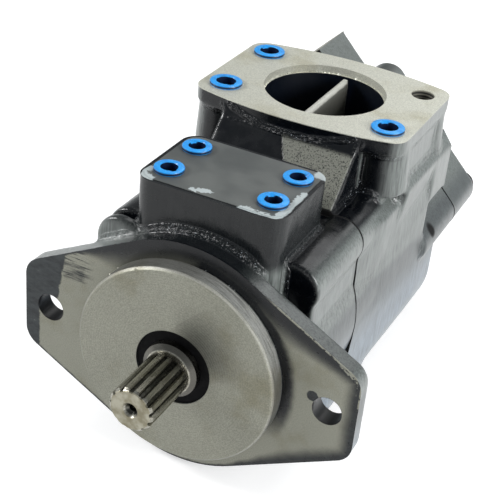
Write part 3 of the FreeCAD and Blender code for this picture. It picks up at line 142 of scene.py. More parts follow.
def sand_grain(points, wave, seed):
    """Smooth noise from -1 to 1 whose bumps are about one wave apart."""
    cell = np.floor(points / wave).astype(np.int64)
    part = points / wave - cell
    part = part * part * (3 - 2 * part)
    total = np.zeros(len(points))
    for corner in range(8):
        step = np.array([corner & 1, corner >> 1 & 1, corner >> 2 & 1])
        spot = cell + step
        code = spot[:, 0] * 73856093 ^ spot[:, 1] * 19349663
        code ^= spot[:, 2] * 83492791 ^ seed * 2654435761
        code = ((code ^ code >> 13) * 1274126177) & 0x7FFFFFFF
        level = ((code ^ code >> 15) & 0xFFFF) / 32767.5 - 1
        share = np.where(step == 1, part, 1 - part).prod(axis=1)
        total += level * share
    return total


def tool_edges(solid, cut_by_tools):
    """Points along the sharp edges that tools have left, about 0.2 mm apart."""
    marks = []
    for edge in solid.edges:
        if len(edge.link_faces) != 2 or edge.calc_face_angle(0) < 0.45:
            continue
        ends = [np.array(corner.co) * 1000 for corner in edge.verts]
        middle = (ends[0] + ends[1])[None, :] / 2
        sides = [np.array(face.normal)[None, :] for face in edge.link_faces]
        if not any(cut_by_tools(middle, side)[0] for side in sides):
            continue
        count = max(1, int(np.linalg.norm(ends[1] - ends[0]) / 0.2))
        marks += [ends[0] + (ends[1] - ends[0]) * i / count for i in range(count + 1)]
    return marks


def pulled_to_edges(points, marks, pull):
    """Moves points that lie within a pull of a sharp edge onto it."""
    tree = KDTree(len(marks))
    for i, mark in enumerate(marks):
        tree.insert(mark, i)
    tree.balance()
    moved = np.zeros(len(points), bool)
    for i, point in enumerate(points):
        mark, _, gap = tree.find(point)
        if gap < pull:
            points[i] = mark
            moved[i] = True
    return moved


def on_plane(points, normals, axis, place):
    """True where a face is square to an axis and lies at that place along it."""
    return (abs(points[:, axis] - place) < 0.05) & (abs(normals[:, axis]) > 0.98)


def from_threads(p, middle, apart):
    """How far each point is, seen from above, from the nearest of a pad's four threads."""
    return np.hypot(abs(p[:, 0]) - apart[0] / 2, abs(p[:, 1] - middle) - apart[1] / 2)


def cut_in_front_body(p, n):
    """Where tools have cut the front body."""
    from_shaft = np.hypot(p[:, 0], p[:, 2])
    from_hole = np.hypot(abs(p[:, 0]) - FLANGE_HOLE, p[:, 2])
    from_outlet = np.hypot(p[:, 0], p[:, 1] - OUTLET_Y)
    cut = on_plane(p, n, 1, 0) | on_plane(p, n, 1, FRONT_JOINT) | on_plane(p, n, 2, OUTLET_TOP)
    cut |= (p[:, 1] < -0.05) | (from_shaft < 49) | (from_hole < 7.3)
    cut |= (from_outlet < 13) & (p[:, 2] > 40)
    return cut | ((from_threads(p, OUTLET_Y, OUTLET_HOLES) < 5.3) & (p[:, 2] > 55))


def cut_in_inlet_body(p, n):
    """Where tools have cut the inlet body."""
    from_shaft = np.hypot(p[:, 0], p[:, 2])
    from_port = np.hypot(p[:, 0], p[:, 1] - INLET_Y)
    cut = on_plane(p, n, 1, FRONT_JOINT) | on_plane(p, n, 1, REAR_JOINT)
    cut |= on_plane(p, n, 2, INLET_TOP) | on_plane(p, n, 1, 182)
    cut |= (from_shaft < 48) & (p[:, 1] < REAR_JOINT - 1) & (from_port > 33)
    cut |= (from_port < 31.9) & (p[:, 2] > 80)
    return cut | ((from_threads(p, INLET_Y, INLET_HOLES) < 6.4) & (p[:, 2] > 50))


def cut_in_rear_cover(p, n):
    """Where tools have cut the rear cover, whose outlet leans 45 degrees to one side."""
    from_shaft = np.hypot(p[:, 0], p[:, 2])
    out = (p[:, 2] - p[:, 0]) * DIAGONAL
    across = (p[:, 2] + p[:, 0]) * DIAGONAL
    cut = on_plane(p, n, 1, REAR_JOINT) | (abs(out - REAR_OUTLET_FACE) < 0.05)
    cut |= (from_shaft < 45) & (p[:, 1] < 233.5)
    cut |= (np.hypot(across, p[:, 1] - REAR_OUTLET_Y) < 9.7) & (out > 20)
    for x, z in ((1, 0), (-1, 0), (0, 1), (0, -1)):
        from_screw = np.hypot(p[:, 0] - x * REAR_SCREW_CIRCLE, p[:, 2] - z * REAR_SCREW_CIRCLE)
        cut |= from_screw < 8.8
    return cut


def averaged(values, first, second, count):
    """The mean of the neighbours' values at each point."""
    total = np.bincount(first, values[second], len(values))
    total += np.bincount(second, values[first], len(values))
    return total / count


def cast_skin(name, node, cut_by_tools, seed):
    """A casting with round edges and a sandy skin, its machined faces left true."""
    solid = merged_solid(node)
    mesh = bpy.data.meshes.new(name)
    solid.to_mesh(mesh)
    casting = bpy.data.objects.new(name, mesh)
    bpy.context.scene.collection.objects.link(casting)
    skin = casting.modifiers.new("skin", "REMESH")
    skin.mode = "VOXEL"
    skin.voxel_size = SKIN_STEP
    plain_mesh(casting)

    mesh = casting.data
    points = points_of(mesh)
    spots, normals = nearest_on_solid(solid, points)
    cut = cut_by_tools(spots, normals)
    points[cut] = spots[cut]
    cut |= pulled_to_edges(points, tool_edges(solid, cut_by_tools), EDGE_PULL)

    ends = np.empty(len(mesh.edges) * 2, np.int64)
    mesh.edges.foreach_get("vertices", ends)
    first, second = ends.reshape(-1, 2).T
    count = np.bincount(first, minlength=len(points)) + np.bincount(second, minlength=len(points))
    cast = ~cut
    before = points.copy()
    for _ in range(SMOOTHING_ROUNDS):
        for axis in range(3):
            values = points[:, axis]
            mean = averaged(values, first, second, count)
            values[cast] += 0.6 * (mean[cast] - values[cast])
    mesh.vertices.foreach_set("co", (points / 1000).ravel())
    mesh.update()

    out = normals_of(mesh)
    filled = np.clip(((points - before) * out).sum(axis=1) / 0.35, -1.0, 1.0)
    filled[cut] = 0.0
    for _ in range(4):
        filled = averaged(filled, first, second, count)
    crinkled = np.clip(filled * 3 - 0.3, 0, 1)
    rough = 0.07 * sand_grain(points, 6.0, seed) + 0.03 * sand_grain(points, 2.4, seed + 1)
    rough += crinkled * (0.2 * sand_grain(points, 2.0, seed + 2) + 0.15)
    reach = np.where(cut, 0.0, rough - 0.06)
    hollow = mesh.attributes.new("hollow", "FLOAT", "POINT")
    hollow.data.foreach_set("value", filled.astype(np.float32))
    points += out * reach[:, None]
    low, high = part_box(node)
    points = np.clip(points, np.array(low) * 1000, np.array(high) * 1000)
    mesh.vertices.foreach_set("co", (points / 1000).ravel())
    mesh.update()

    thinner = casting.modifiers.new("thinner", "DECIMATE")
    thinner.ratio = min(1.0, SKIN_TRIANGLES[node] / (2.0 * len(mesh.polygons)))
    thinner.use_collapse_triangulate = True
    plain_mesh(casting)
    casting.data.shade_smooth()
    casting.data.set_sharp_from_angle(angle=SHARP_CORNER)
    solid.free()
    return casting


class NodeLines:
    """A node tree that is put together line by line."""

    def give(self, socket, value):
        """Links a socket to another, or sets its number or colour."""
        if isinstance(value, bpy.types.NodeSocket):
            self.tree.links.new(value, socket)
        elif isinstance(value, tuple) and socket.type == "RGBA":
            socket.default_value = (*value, 1.0)
        elif value is not None:
            socket.default_value = value

    def made(self, kind, **values):
        """A node with these inputs; an underline in a name stands for a space."""
        node = self.tree.nodes.new(kind)
        for name, value in values.items():
            self.give(node.inputs[name.replace("_", " ")], value)
        return node

    def sum(self, operation, *values, held=False):
        """One line of arithmetic on sockets and numbers."""
        node = self.tree.nodes.new("ShaderNodeMath")
        node.operation = operation
        node.use_clamp = held
        for socket, value in zip(node.inputs, values):
            self.give(socket, value)
        return node.outputs[0]

    def both(self, *shares):
        """Where all of the shares hold: their product."""
        return functools.reduce(lambda total, share: self.sum("MULTIPLY", total, share), shares)

    def either(self, *shares):
        """Where any of the shares holds: the largest of them."""
        return functools.reduce(lambda total, share: self.sum("MAXIMUM", total, share), shares)

    def rest(self, share):
        """What a share leaves over."""
        return self.sum("SUBTRACT", 1.0, share)

    def less(self, value, by):
        return self.sum("SUBTRACT", value, by)


class Finish(NodeLines):
    """A surface finish, from where a point lies on the pump in millimetres."""

    def __init__(self, name):
        self.material = bpy.data.materials.new(name)
        self.material.use_nodes = True
        self.tree = self.material.node_tree
        self.tree.nodes.clear()
        place = self.tree.nodes.new("ShaderNodeTexCoord").outputs["Object"]
        grown = self.made("ShaderNodeVectorMath", Vector=place)
        grown.operation = "SCALE"
        self.give(grown.inputs["Scale"], 1000.0)
        self.place = grown.outputs[0]
        self.x, self.y, self.z = self.made("ShaderNodeSeparateXYZ", Vector=self.place).outputs

    def facing(self, axis):
        """How squarely the surface faces along an axis, either way, from 0 to 1."""
        normal = self.made("ShaderNodeNewGeometry").outputs["Normal"]
        parts = self.made("ShaderNodeSeparateXYZ", Vector=normal)
        return self.sum("ABSOLUTE", parts.outputs[axis])

    def step(self, value, start, end, low=0.0, high=1.0):
        """A soft step from low at start to high at end."""
        ends = {"From_Min": start, "From_Max": end, "To_Min": low, "To_Max": high}
        node = self.made("ShaderNodeMapRange", Value=value, **ends)
        node.interpolation_type = "SMOOTHSTEP"
        return node.outputs["Result"]

    def stretched(self, x, y, z, turn=(0.0, 0.0, 0.0)):
        """The place in millimetres, turned and then scaled along each axis."""
        node = self.made("ShaderNodeMapping", Vector=self.place, Rotation=turn, Scale=(x, y, z))
        return node.outputs[0]

    def cloud(self, wave, detail=3.0, rough=0.55, at=None):
        """Noise around 0.5 whose patches are about one wave across."""
        at = at or self.place
        look = {"Scale": 1.0 / wave, "Detail": detail, "Roughness": rough}
        return self.made("ShaderNodeTexNoise", Vector=at, **look).outputs[0]

    def blend(self, share, first, second, kind="MIX"):
        """Colour first where share is 0, and second where it is 1."""
        node = self.tree.nodes.new("ShaderNodeMix")
        node.data_type = "RGBA"
        node.blend_type = kind
        node.clamp_factor = True
        self.give(node.inputs[0], share)
        self.give(node.inputs[6], first)
        self.give(node.inputs[7], second)
        return node.outputs[2]

    def tinted(self, first, second):
        """One colour multiplied by another."""
        return self.blend(1.0, first, second, "MULTIPLY")

    def level(self, share, first, second):
        """Number first where share is 0, and second where it is 1."""
        node = self.tree.nodes.new("ShaderNodeMix")
        node.data_type = "FLOAT"
        node.clamp_factor = True
        self.give(node.inputs[0], share)
        self.give(node.inputs[2], first)
        self.give(node.inputs[3], second)
        return node.outputs[0]

    def relief(self, height, depth):
        """A bump whose height of 1 stands depth millimetres high."""
        bump = self.made("ShaderNodeBump", Strength=1.0, Distance=depth / 1000, Height=height)
        return bump.outputs[0]

    def marked(self, name):
        """A number that the mesh carries at each of its points."""
        node = self.tree.nodes.new("ShaderNodeAttribute")
        node.attribute_name = name
        return node.outputs["Fac"]

    def ragged(self, value, wave, reach, detail=4.0):
        """The value with its level lines shaken by up to about reach."""
        shake = self.less(self.cloud(wave, detail, 0.65), 0.5)
        return self.sum("MULTIPLY_ADD", shake, 2 * reach, value)

    def torn(self, value, wave, reach, start, end):
        """A soft step along a ragged line."""
        return self.step(self.ragged(value, wave, reach), start, end)

    def apart(self, *pairs):
        """The squared distance from a line or spot, given as (coordinate, middle) pairs."""
        total = 0.0
        for coordinate, middle in pairs:
            off = self.less(coordinate, middle)
            total = self.sum("MULTIPLY_ADD", off, off, total)
        return total

    def away(self, *pairs):
        """The distance in millimetres from a line or spot."""
        return self.sum("SQRT", self.apart(*pairs))

    def off_middle(self, coordinate, middle):
        """How far a coordinate is from a middle, either way."""
        return self.sum("ABSOLUTE", self.less(coordinate, middle))

    def shade(self, **values):
        """Ends the tree in a shader with these inputs."""
        shader = self.made("ShaderNodeBsdfPrincipled", **values)
        self.made("ShaderNodeOutputMaterial", Surface=shader.outputs[0])
        return self.material


BLACK_PAINT = (0.0018, 0.0027, 0.0045)
DUSTY_PAINT = (0.007, 0.0085, 0.0095)
COVER_PAINT = (0.045, 0.052, 0.048)
# Painted light and shade on the sides: a lit top band, a shaded middle band and a pale bluish bottom
# band.
SIDE_LIT_TOP = (0.185, 0.208, 0.197)
SIDE_SHADED_MIDDLE = (0.085, 0.1, 0.102)
SIDE_LIT_BOTTOM = (0.235, 0.29, 0.345)
WORN_PAINT = (0.12, 0.125, 0.12)
PAINTED_GLINT = (0.5, 0.55, 0.6)
SANDY_SPECKLE = (0.19, 0.195, 0.165)
# Black for the joint cracks, and for painted shade in a hollow.
CRACK_AND_SHADE_BLACK = (0.001, 0.001, 0.0012)
MILLED_IRON = (0.38, 0.38, 0.315)
PALE_IRON = (0.76, 0.76, 0.66)
SILVER_SCUFF = (0.46, 0.51, 0.515)


def milled_iron(finish, colour):
    """Bare iron with the fine marks of a cutter: its colour and its roughness."""
    grain = finish.cloud(0.5, 3.0, 0.7)
    stain = finish.cloud(30.0, 4.0, 0.6)
    mottle = finish.blend(finish.step(grain, 0.25, 0.75), (0.6, 0.6, 0.6), (1.0, 1.0, 1.0))
    warm = finish.blend(finish.step(stain, 0.48, 0.75), (1.0, 1.0, 1.0), (0.8, 0.77, 0.68))
    iron = finish.tinted(finish.tinted(colour, mottle), warm)
    return iron, finish.step(stain, 0.3, 0.7, 0.4, 0.5)


def painted_side_light(finish):
    """Painted light and shade on the tall sides, in soft bands from top to bottom: lit at the top,
    shaded under the crease, pale and bluish low down.
    """
    level = finish.ragged(finish.z, 22.0, 3.0)
    colour = finish.blend(finish.step(level, 16.0, 9.0), SIDE_LIT_TOP, SIDE_SHADED_MIDDLE)
    return finish.blend(finish.step(level, 4.0, -26.0), colour, SIDE_LIT_BOTTOM)


def paint_shader(
    finish, bare, iron, gloss=0.16, paint=BLACK_PAINT, sandy=None, satin_and_side_light=1.0, lobes=0.0, others=()
):
    """Thick paint where bare is 0 and iron where it is 1, over the sand-cast skin."""
    iron_colour, iron_rough = milled_iron(finish, iron)
    large = finish.cloud(30.0, 3.0)
    dust = finish.cloud(1.1, 4.0, 0.7)
    hollow = finish.marked("hollow")
    crinkled = finish.step(hollow, 0.06, 0.3)
    worn = finish.step(hollow, -0.12, -0.4)
    # The sides, and lobe tops where asked, take a rougher coated finish and, along the paint runs, the
    # painted light and shade of the sides.
    side = finish.both(finish.step(finish.either(finish.facing(0), lobes), 0.12, 0.85), satin_and_side_light)
    runs = finish.cloud(0.9, 3.0, 0.6, finish.stretched(1.0, 1.0, 0.07))
    side_light_in_runs = finish.both(side, finish.step(runs, 0.25, 0.65, 0.3, 1.0))
    dusty = finish.both(worn, finish.step(dust, 0.5, 0.68), 0.5)
    # Pale specks painted in the crinkled hollows as highlights.
    painted_glints = finish.both(
        finish.step(crinkled, 0.3, 0.9),
        finish.step(finish.cloud(0.9, 3.0, 0.75), 0.62, 0.66),
        finish.step(finish.cloud(9.0, 2.0), 0.5, 0.62),
    )
    colour = finish.blend(finish.step(large, 0.45, 0.8, 0.0, 0.6), paint, DUSTY_PAINT)
    colour = finish.blend(side_light_in_runs, colour, painted_side_light(finish))
    colour = finish.blend(dusty, colour, WORN_PAINT)
    colour = finish.blend(painted_glints, colour, PAINTED_GLINT)
    rough = finish.step(finish.cloud(7.0, 3.0), 0.3, 0.7, gloss, gloss + 0.14)
    rough = finish.level(crinkled, rough, 0.05)
    rough = finish.level(side, rough, 0.36)
    waves = finish.level(crinkled, 0.12, 3.0)
    if sandy is not None:
        speckle = finish.both(sandy, finish.step(finish.cloud(0.75, 3.0, 0.8), 0.38, 0.5))
        colour = finish.blend(speckle, colour, SANDY_SPECKLE)
        rough = finish.level(sandy, rough, 0.5)
        waves = finish.level(sandy, waves, 1.2)
    for share, tint, roughness in others:
        colour = finish.blend(share, colour, tint)
        rough = finish.level(share, rough, roughness)
    for joint in (FRONT_JOINT, REAR_JOINT):
        off = finish.sum("ABSOLUTE", finish.ragged(finish.less(finish.y, joint), 4.0, 0.4))
        crack = finish.both(finish.step(off, 0.85, 0.5), finish.rest(bare))
        colour = finish.blend(crack, colour, CRACK_AND_SHADE_BLACK)
        rough = finish.level(crack, rough, 0.9)
        side = finish.both(side, finish.rest(crack))
    streaks = finish.both(runs, side, 0.12)
    ripple = finish.both(finish.cloud(1.7, 3.0, 0.6), waves)
    ripple = finish.both(finish.sum("ADD", ripple, streaks), finish.rest(bare))
    grain = finish.both(finish.cloud(0.45, 2.0, 0.6), finish.level(bare, 0.05, 0.025))
    return finish.shade(
        Base_Color=finish.blend(bare, colour, iron_colour),
        Metallic=finish.level(bare, 0.0, 0.45),
        Roughness=finish.level(bare, rough, iron_rough),
        IOR=1.45,
        Coat_Weight=finish.both(side, finish.rest(bare)),
        Coat_Roughness=0.3,
        Normal=finish.relief(finish.sum("ADD", ripple, grain), 0.35),
    )


def silver_scuffs(finish):
    """Where the top of the outlet pad is scuffed to silver, along its rounded rim."""
    side = finish.sum("SUBTRACT", OUTLET_PAD[0] / 2, finish.off_middle(finish.x, 0.0))
    front = finish.less(finish.y, OUTLET_Y - OUTLET_PAD[1] / 2)
    edge = finish.sum("SMOOTH_MIN", side, front, 9.0)
    rim = finish.both(
        finish.step(finish.ragged(edge, 3.5, 5.0, 6.0), 4.2, 3.6),
        finish.torn(edge, 5.0, 0.8, 1.0, 1.5),
    )
    right = finish.both(
        finish.torn(finish.x, 6.0, 3.0, 14.0, 15.0),
        finish.torn(finish.y, 6.0, 3.0, 42.0, 41.0),
    )
    left = finish.both(
        finish.torn(finish.x, 6.0, 2.0, -27.0, -28.0),
        finish.step(finish.y, 24.0, 23.0),
    )
    leaning = finish.sum("MULTIPLY_ADD", finish.x, -0.28, finish.y)
    long, wide = 6.5, 2.4
    patch = finish.apart(
        (finish.sum("DIVIDE", finish.x, long), -5.0 / long),
        (finish.sum("DIVIDE", leaning, wide), 17.6 / wide),
    )
    streak = finish.torn(patch, 2.5, 1.6, 0.7, 0.5)
    back = finish.both(
        finish.torn(finish.x, 4.0, 2.0, 30.0, 31.0),
        finish.torn(finish.y, 4.0, 2.0, 57.0, 58.0),
    )
    return finish.either(finish.both(rim, finish.either(right, left)), streak, back)


EAR_SLOPE = (0.4695, 0.8829)
SHADED_SIDE = (0.07, 0.07, 0.064)
HIGHLIGHT_SIDE = (0.6, 0.61, 0.58)
HIGHLIGHT_LIP = (0.6, 0.59, 0.52)
SHAFT_SHADE_IRON = (0.06, 0.062, 0.055)
RING_MARK = (0.6, 0.59, 0.5)
HOLE_BLACK = (0.002, 0.002, 0.003)


def inside_rim(finish, across, from_shaft):
    """How far inside the flange's rim a point of the mounting face lies."""
    upright = finish.both(finish.off_middle(finish.z, 0.0), EAR_SLOPE[1])
    slope = finish.sum("MULTIPLY_ADD", across, EAR_SLOPE[0], upright)
    reach = finish.level(finish.step(across, 28.0, 28.3), from_shaft, slope)
    return finish.sum(
        "MINIMUM",
        finish.sum("SUBTRACT", FLANGE_ARC, reach),
        finish.sum("SUBTRACT", FLANGE_REACH, across),
    )


def overspray_and_shade(finish, to_edge, upper):
    """Paint blown in from the rim, widest at the upper right, where it also stands as painted shade
    beside the pilot.
    """
    right = finish.step(finish.x, 20.0, 60.0)
    width = finish.either(finish.level(upper, 1.2, 17.0), finish.level(right, 1.2, 7.0))
    return finish.step(finish.sum("DIVIDE", finish.ragged(to_edge, 9.0, 1.2), width), 1.25, 0.2)


def painted_ear(finish):
    """The paint left on the left ear, up to the line where wiping stopped."""
    lower, upper = -79.5, finish.sum("MULTIPLY_ADD", finish.z, 0.16, -70.2)
    end_line = finish.level(finish.step(finish.z, 0.0, 6.0), lower, upper)
    return finish.step(finish.ragged(finish.less(finish.x, end_line), 4.0, 1.4), 0.5, -0.5)


def ear_brushwork(finish):
    """Dry brush strokes and a thin wiped block of paint beside the left ear."""
    strokes = finish.cloud(1.0, 3.0, 0.6, finish.stretched(0.06, 1.0, 0.9, (0.0, 0.12, 0.0)))
    brushed = finish.both(
        finish.step(strokes, 0.5, 0.62),
        finish.torn(finish.x, 5.0, 4.0, -48.0, -56.0),
        finish.torn(finish.z, 5.0, 2.0, 19.0, 23.0),
    )
    wiped = finish.both(
        finish.torn(finish.x, 3.0, 1.0, -66.5, -65.5),
        finish.torn(finish.x, 4.0, 2.0, -53.0, -55.0),
        finish.torn(finish.z, 2.5, 0.9, 20.0, 21.0),
        finish.torn(finish.z, 2.5, 0.9, 29.5, 28.5),
        finish.step(finish.cloud(2.0, 3.0, 0.7, finish.stretched(0.2, 1.0, 1.0)), 0.35, 0.6),
    )
    return finish.either(brushed, finish.both(wiped, 0.7))


def chipped(finish, to_edge):
    """Chips at the right ear and the line worn along the rim beside it."""
    chips = finish.both(
        finish.torn(to_edge, 2.4, 2.0, 2.4, 1.7),
        finish.torn(finish.x, 3.0, 2.0, 75.0, 77.0),
        finish.step(finish.cloud(2.2, 3.0, 0.7), 0.42, 0.5),
        finish.step(finish.x, 86.0, 84.5),
        finish.step(finish.z, 12.0, 14.0),
    )
    worn_line = finish.both(
        finish.step(to_edge, 0.9, 0.5),
        finish.step(finish.x, 34.0, 48.0),
        finish.step(finish.z, 4.0, 9.0),
        finish.step(finish.cloud(2.0, 3.0), 0.35, 0.5),
    )
    return finish.either(chips, worn_line)


def face_haze(finish, ear, dense_and_shaded):
    """The colour of the thin paint on the mounting face, scraped on the ear, and darkest at the top
    and by the pilot's foot as thick paint and painted shade.
    """
    stretched = finish.stretched(0.45, 1.0, 1.0, (0.0, 0.9, 0.0))
    smeared = finish.cloud(3.0, 5.0, 0.7, stretched)
    thin, thick, scraped = (0.038, 0.047, 0.05), (0.009, 0.012, 0.015), (0.17, 0.18, 0.17)
    haze = finish.blend(finish.step(smeared, 0.3, 0.65), thick, thin)
    haze = finish.blend(finish.both(ear, finish.step(smeared, 0.64, 0.7)), haze, scraped)
    return finish.blend(dense_and_shaded, haze, (0.006, 0.007, 0.009))


def pilot_iron(finish, from_shaft, on_pilot):
    """Turned iron: faint rings on the face, a painted highlight on the side and lip with painted shade
    on the rest of the side, and painted shade by the shaft.
    """
    turned = finish.cloud(0.5, 2.0, 0.6, finish.stretched(0.05, 1.0, 0.05))
    # A painted highlight at the upper right of the pilot's side and lip; the rest of the side is
    # painted shade.
    pilot_highlight = finish.both(finish.step(finish.x, 0.0, 26.0), finish.step(finish.z, 6.0, 30.0))
    pilot_highlight = finish.both(finish.level(pilot_highlight, 0.3, 1.0), finish.step(turned, 0.3, 0.6, 0.35, 1.0))
    rim = finish.step(from_shaft, PILOT_RADIUS - 0.7, PILOT_RADIUS - 0.3)
    side = finish.blend(pilot_highlight, SHADED_SIDE, HIGHLIGHT_SIDE)
    iron = finish.blend(finish.both(on_pilot, rim), MILLED_IRON, side)
    lip = finish.both(
        finish.step(finish.y, -7.8, -8.0),
        finish.step(from_shaft, PILOT_RADIUS - 0.8, PILOT_RADIUS - 0.6),
    )
    iron = finish.blend(finish.both(lip, finish.level(pilot_highlight, 0.3, 0.75)), iron, HIGHLIGHT_LIP)
    # A painted wedge of shade on the pilot's face, to the upper right of the shaft.
    upper_right = finish.both(finish.sum("ADD", finish.x, finish.z), DIAGONAL)
    shaft_shade = finish.both(
        finish.step(finish.sum("DIVIDE", upper_right, from_shaft), 0.62, 1.0),
        finish.torn(from_shaft, 12.0, 3.0, 42.0, 19.0),
        on_pilot,
        0.75,
    )
    iron = finish.blend(shaft_shade, iron, SHAFT_SHADE_IRON)
    rings = finish.sum("SINE", finish.both(from_shaft, 5.0))
    rings = finish.both(on_pilot, finish.step(rings, 0.2, 1.0, 0.0, 0.12))
    return finish.blend(rings, iron, RING_MARK)


def front_paint():
    """Black paint with the pilot bare and the mounting face wiped, oversprayed and chipped, and
    painted light and shade on the pilot, the top of the face and the sides.
    """
    finish = Finish("front_casting_paint")
    across = finish.off_middle(finish.x, 0.0)
    from_shaft = finish.away((finish.x, 0.0), (finish.z, 0.0))
    to_edge = inside_rim(finish, across, from_shaft)
    # The top of the face, where the blown-in paint widens into painted shade beside the pilot.
    upper = finish.both(finish.step(finish.z, 8.0, 40.0), finish.step(finish.x, -60.0, -25.0))
    foot = finish.both(
        finish.torn(from_shaft, 7.0, 1.5, 58.5, 54.0),
        finish.torn(finish.x, 8.0, 4.0, -22.0, 8.0),
        finish.torn(finish.z, 8.0, 4.0, -30.0, -8.0),
    )
    ear = painted_ear(finish)
    painted = finish.either(overspray_and_shade(finish, to_edge, upper), ear, ear_brushwork(finish), foot)
    painted = finish.both(painted, finish.step(chipped(finish, to_edge), 1.0, 0.0))
    nick = finish.ragged(finish.apart((finish.x, 65.4), (finish.z, 5.2)), 1.5, 3.0)
    painted = finish.either(painted, finish.step(nick, 9.0, 6.0))

    on_pilot = finish.step(finish.y, -0.4, -0.8)
    face = finish.step(finish.y, 0.35, 0.2)
    in_seal_bore = finish.step(from_shaft, 19.4, 19.1)
    in_hole = finish.step(finish.apart((across, FLANGE_HOLE), (finish.z, 0.0)), 53.0, 51.5)
    bare = finish.either(on_pilot, finish.both(face, finish.rest(painted)))
    bare = finish.both(bare, finish.rest(in_seal_bore), finish.rest(in_hole))
    top = finish.step(finish.z, OUTLET_TOP - 0.7, OUTLET_TOP - 0.4)
    scuffed = finish.both(top, silver_scuffs(finish))
    hazy = finish.both(face, painted, finish.level(ear, 0.45, 0.9))
    # The lobe tops and the flange's outer sides take the painted light of the sides too.
    lobes = finish.both(
        finish.step(across, 33.0, 40.0),
        finish.step(finish.y, 21.0, 26.0),
        finish.step(finish.z, 53.0, 49.0),
        0.55,
    )
    rim = finish.both(
        finish.step(to_edge, 1.3, 0.7),
        finish.step(finish.y, 0.6, 1.2),
        finish.step(finish.y, 16.0, 15.0),
        finish.step(finish.x, -34.0, -50.0, 0.5, 0.95),
    )
    return paint_shader(
        finish,
        bare,
        pilot_iron(finish, from_shaft, on_pilot),
        satin_and_side_light=finish.step(finish.z, 56.0, 48.0, 0.08, 1.0),
        lobes=finish.either(lobes, rim),
        others=(
            (scuffed, SILVER_SCUFF, 0.4),
            (hazy, face_haze(finish, ear, finish.either(foot, upper)), 0.34),
            (in_hole, HOLE_BLACK, 0.5),
        ),
    )


PORT_BLUE_BLACK = (0.002, 0.004, 0.009)
RIB_IRON = (0.1, 0.1, 0.088)
RIB_CREST = (0.5, 0.5, 0.45)
THREAD_DARK = (0.03, 0.03, 0.028)
THREAD_CREST = (0.2, 0.19, 0.16)
RUST = (0.2, 0.13, 0.06)


def sandy_saddle(finish):
    """The right of the slope before the pad, where the paint has hardly covered the sand."""
    line = finish.sum("MULTIPLY_ADD", finish.sum("SUBTRACT", 91.6, finish.y), 0.69, -1.4)
    return finish.both(
        finish.step(finish.ragged(finish.less(finish.x, line), 5.0, 2.0), 0.0, 1.5),
        finish.step(finish.x, 36.5, 35.5),
        finish.step(finish.y, 94.0, 92.0),
        finish.step(finish.z, 53.0, 55.0),
    )


def inlet_paint():
    """Black paint with the suction pad and its rim bare, and the port blacker still."""
    finish = Finish("inlet_casting_paint")
    across = finish.off_middle(finish.x, 0.0)
    from_port = finish.away((finish.x, 0.0), (finish.y, INLET_Y))
    top = finish.step(finish.ragged(finish.z, 1.6, 0.12), INLET_TOP - 0.5, INLET_TOP - 0.3)
    rim = finish.both(finish.step(from_port, 32.6, 32.2), finish.step(finish.z, 80.5, 80.7))
    inside = finish.both(finish.step(from_port, 31.6, 31.2), finish.step(finish.z, 80.6, 80.4))
    rib = finish.both(
        finish.step(across, 3.4, 3.2),
        finish.step(from_port, 30.9, 30.4),
        finish.step(finish.z, 30.0, 34.0),
    )
    crest = finish.both(rib, finish.torn(finish.z, 2.0, 0.5, 78.6, 79.6))
    stain = finish.ragged(finish.apart((finish.x, 39.0), (finish.y, 132.0)), 3.0, 14.0)
    rusty = finish.both(top, finish.step(stain, 26.0, 8.0))
    from_thread = finish.away(
        (finish.x, INLET_HOLES[0] / 2), (finish.y, INLET_Y + INLET_HOLES[1] / 2)
    )
    thread = finish.both(finish.step(from_thread, 6.6, 6.3), finish.step(finish.z, 60.0, 66.0))
    turn_of_thread = finish.sum("SINE", finish.both(finish.z, 3.6))
    threaded = finish.both(thread, finish.step(turn_of_thread, -0.2, 0.5))
    # A black spot painted as shade in the hollow of the side pocket.
    dimple_shade = finish.both(
        finish.step(finish.apart((finish.y, 170.9), (finish.z, 6.0)), 20.0, 3.0),
        finish.step(finish.x, 40.0, 45.0),
    )
    by_saddle = finish.both(
        finish.step(finish.y, 103.0, 99.0),
        finish.step(finish.z, 44.0, 50.0),
        finish.step(across, 53.0, 50.0),
    )
    return paint_shader(
        finish,
        finish.either(top, rim),
        PALE_IRON,
        sandy=sandy_saddle(finish),
        satin_and_side_light=finish.rest(finish.either(by_saddle, dimple_shade)),
        others=(
            (finish.both(inside, finish.rest(rib)), PORT_BLUE_BLACK, 0.3),
            (rib, RIB_IRON, 0.45),
            (crest, RIB_CREST, 0.35),
            (thread, THREAD_DARK, 0.4),
            (threaded, THREAD_CREST, 0.4),
            (dimple_shade, CRACK_AND_SHADE_BLACK, 0.8),
            (rusty, RUST, 0.6),
        ),
    )


def cover_paint():
    """Matt dusty paint, and bare iron on the leaning face of the rear outlet."""
    finish = Finish("cover_casting_paint")
    out = finish.both(finish.less(finish.z, finish.x), DIAGONAL)
    bare = finish.step(out, REAR_OUTLET_FACE - 0.3, REAR_OUTLET_FACE - 0.1)
    return paint_shader(finish, bare, MILLED_IRON, 0.36, COVER_PAINT)


for name, node, cut_by_tools, seed, paint, slot in (
    ("front_casting", "front_body", cut_in_front_body, 11, front_paint, "casting_paint"),
    ("inlet_casting", "inlet_body", cut_in_inlet_body, 23, inlet_paint, "casting_paint"),
    ("cover_casting", "rear_cover", cut_in_rear_cover, 37, cover_paint, "cover_paint"),
):
    casting = cast_skin(name, node, cut_by_tools, seed)
    casting.data.materials.append(paint())
    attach(casting, "housing")
    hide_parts(node)


def dress(material, *nodes):
    """Gives a machined part its finish."""
    for node in nodes:
        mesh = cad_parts[node].data
        mesh.materials.clear()
        mesh.materials.append(material)


# The drive shaft: turned and ground alloy steel, with a splined end milled
# after hardening. It sticks out of the pilot through the shaft seal.

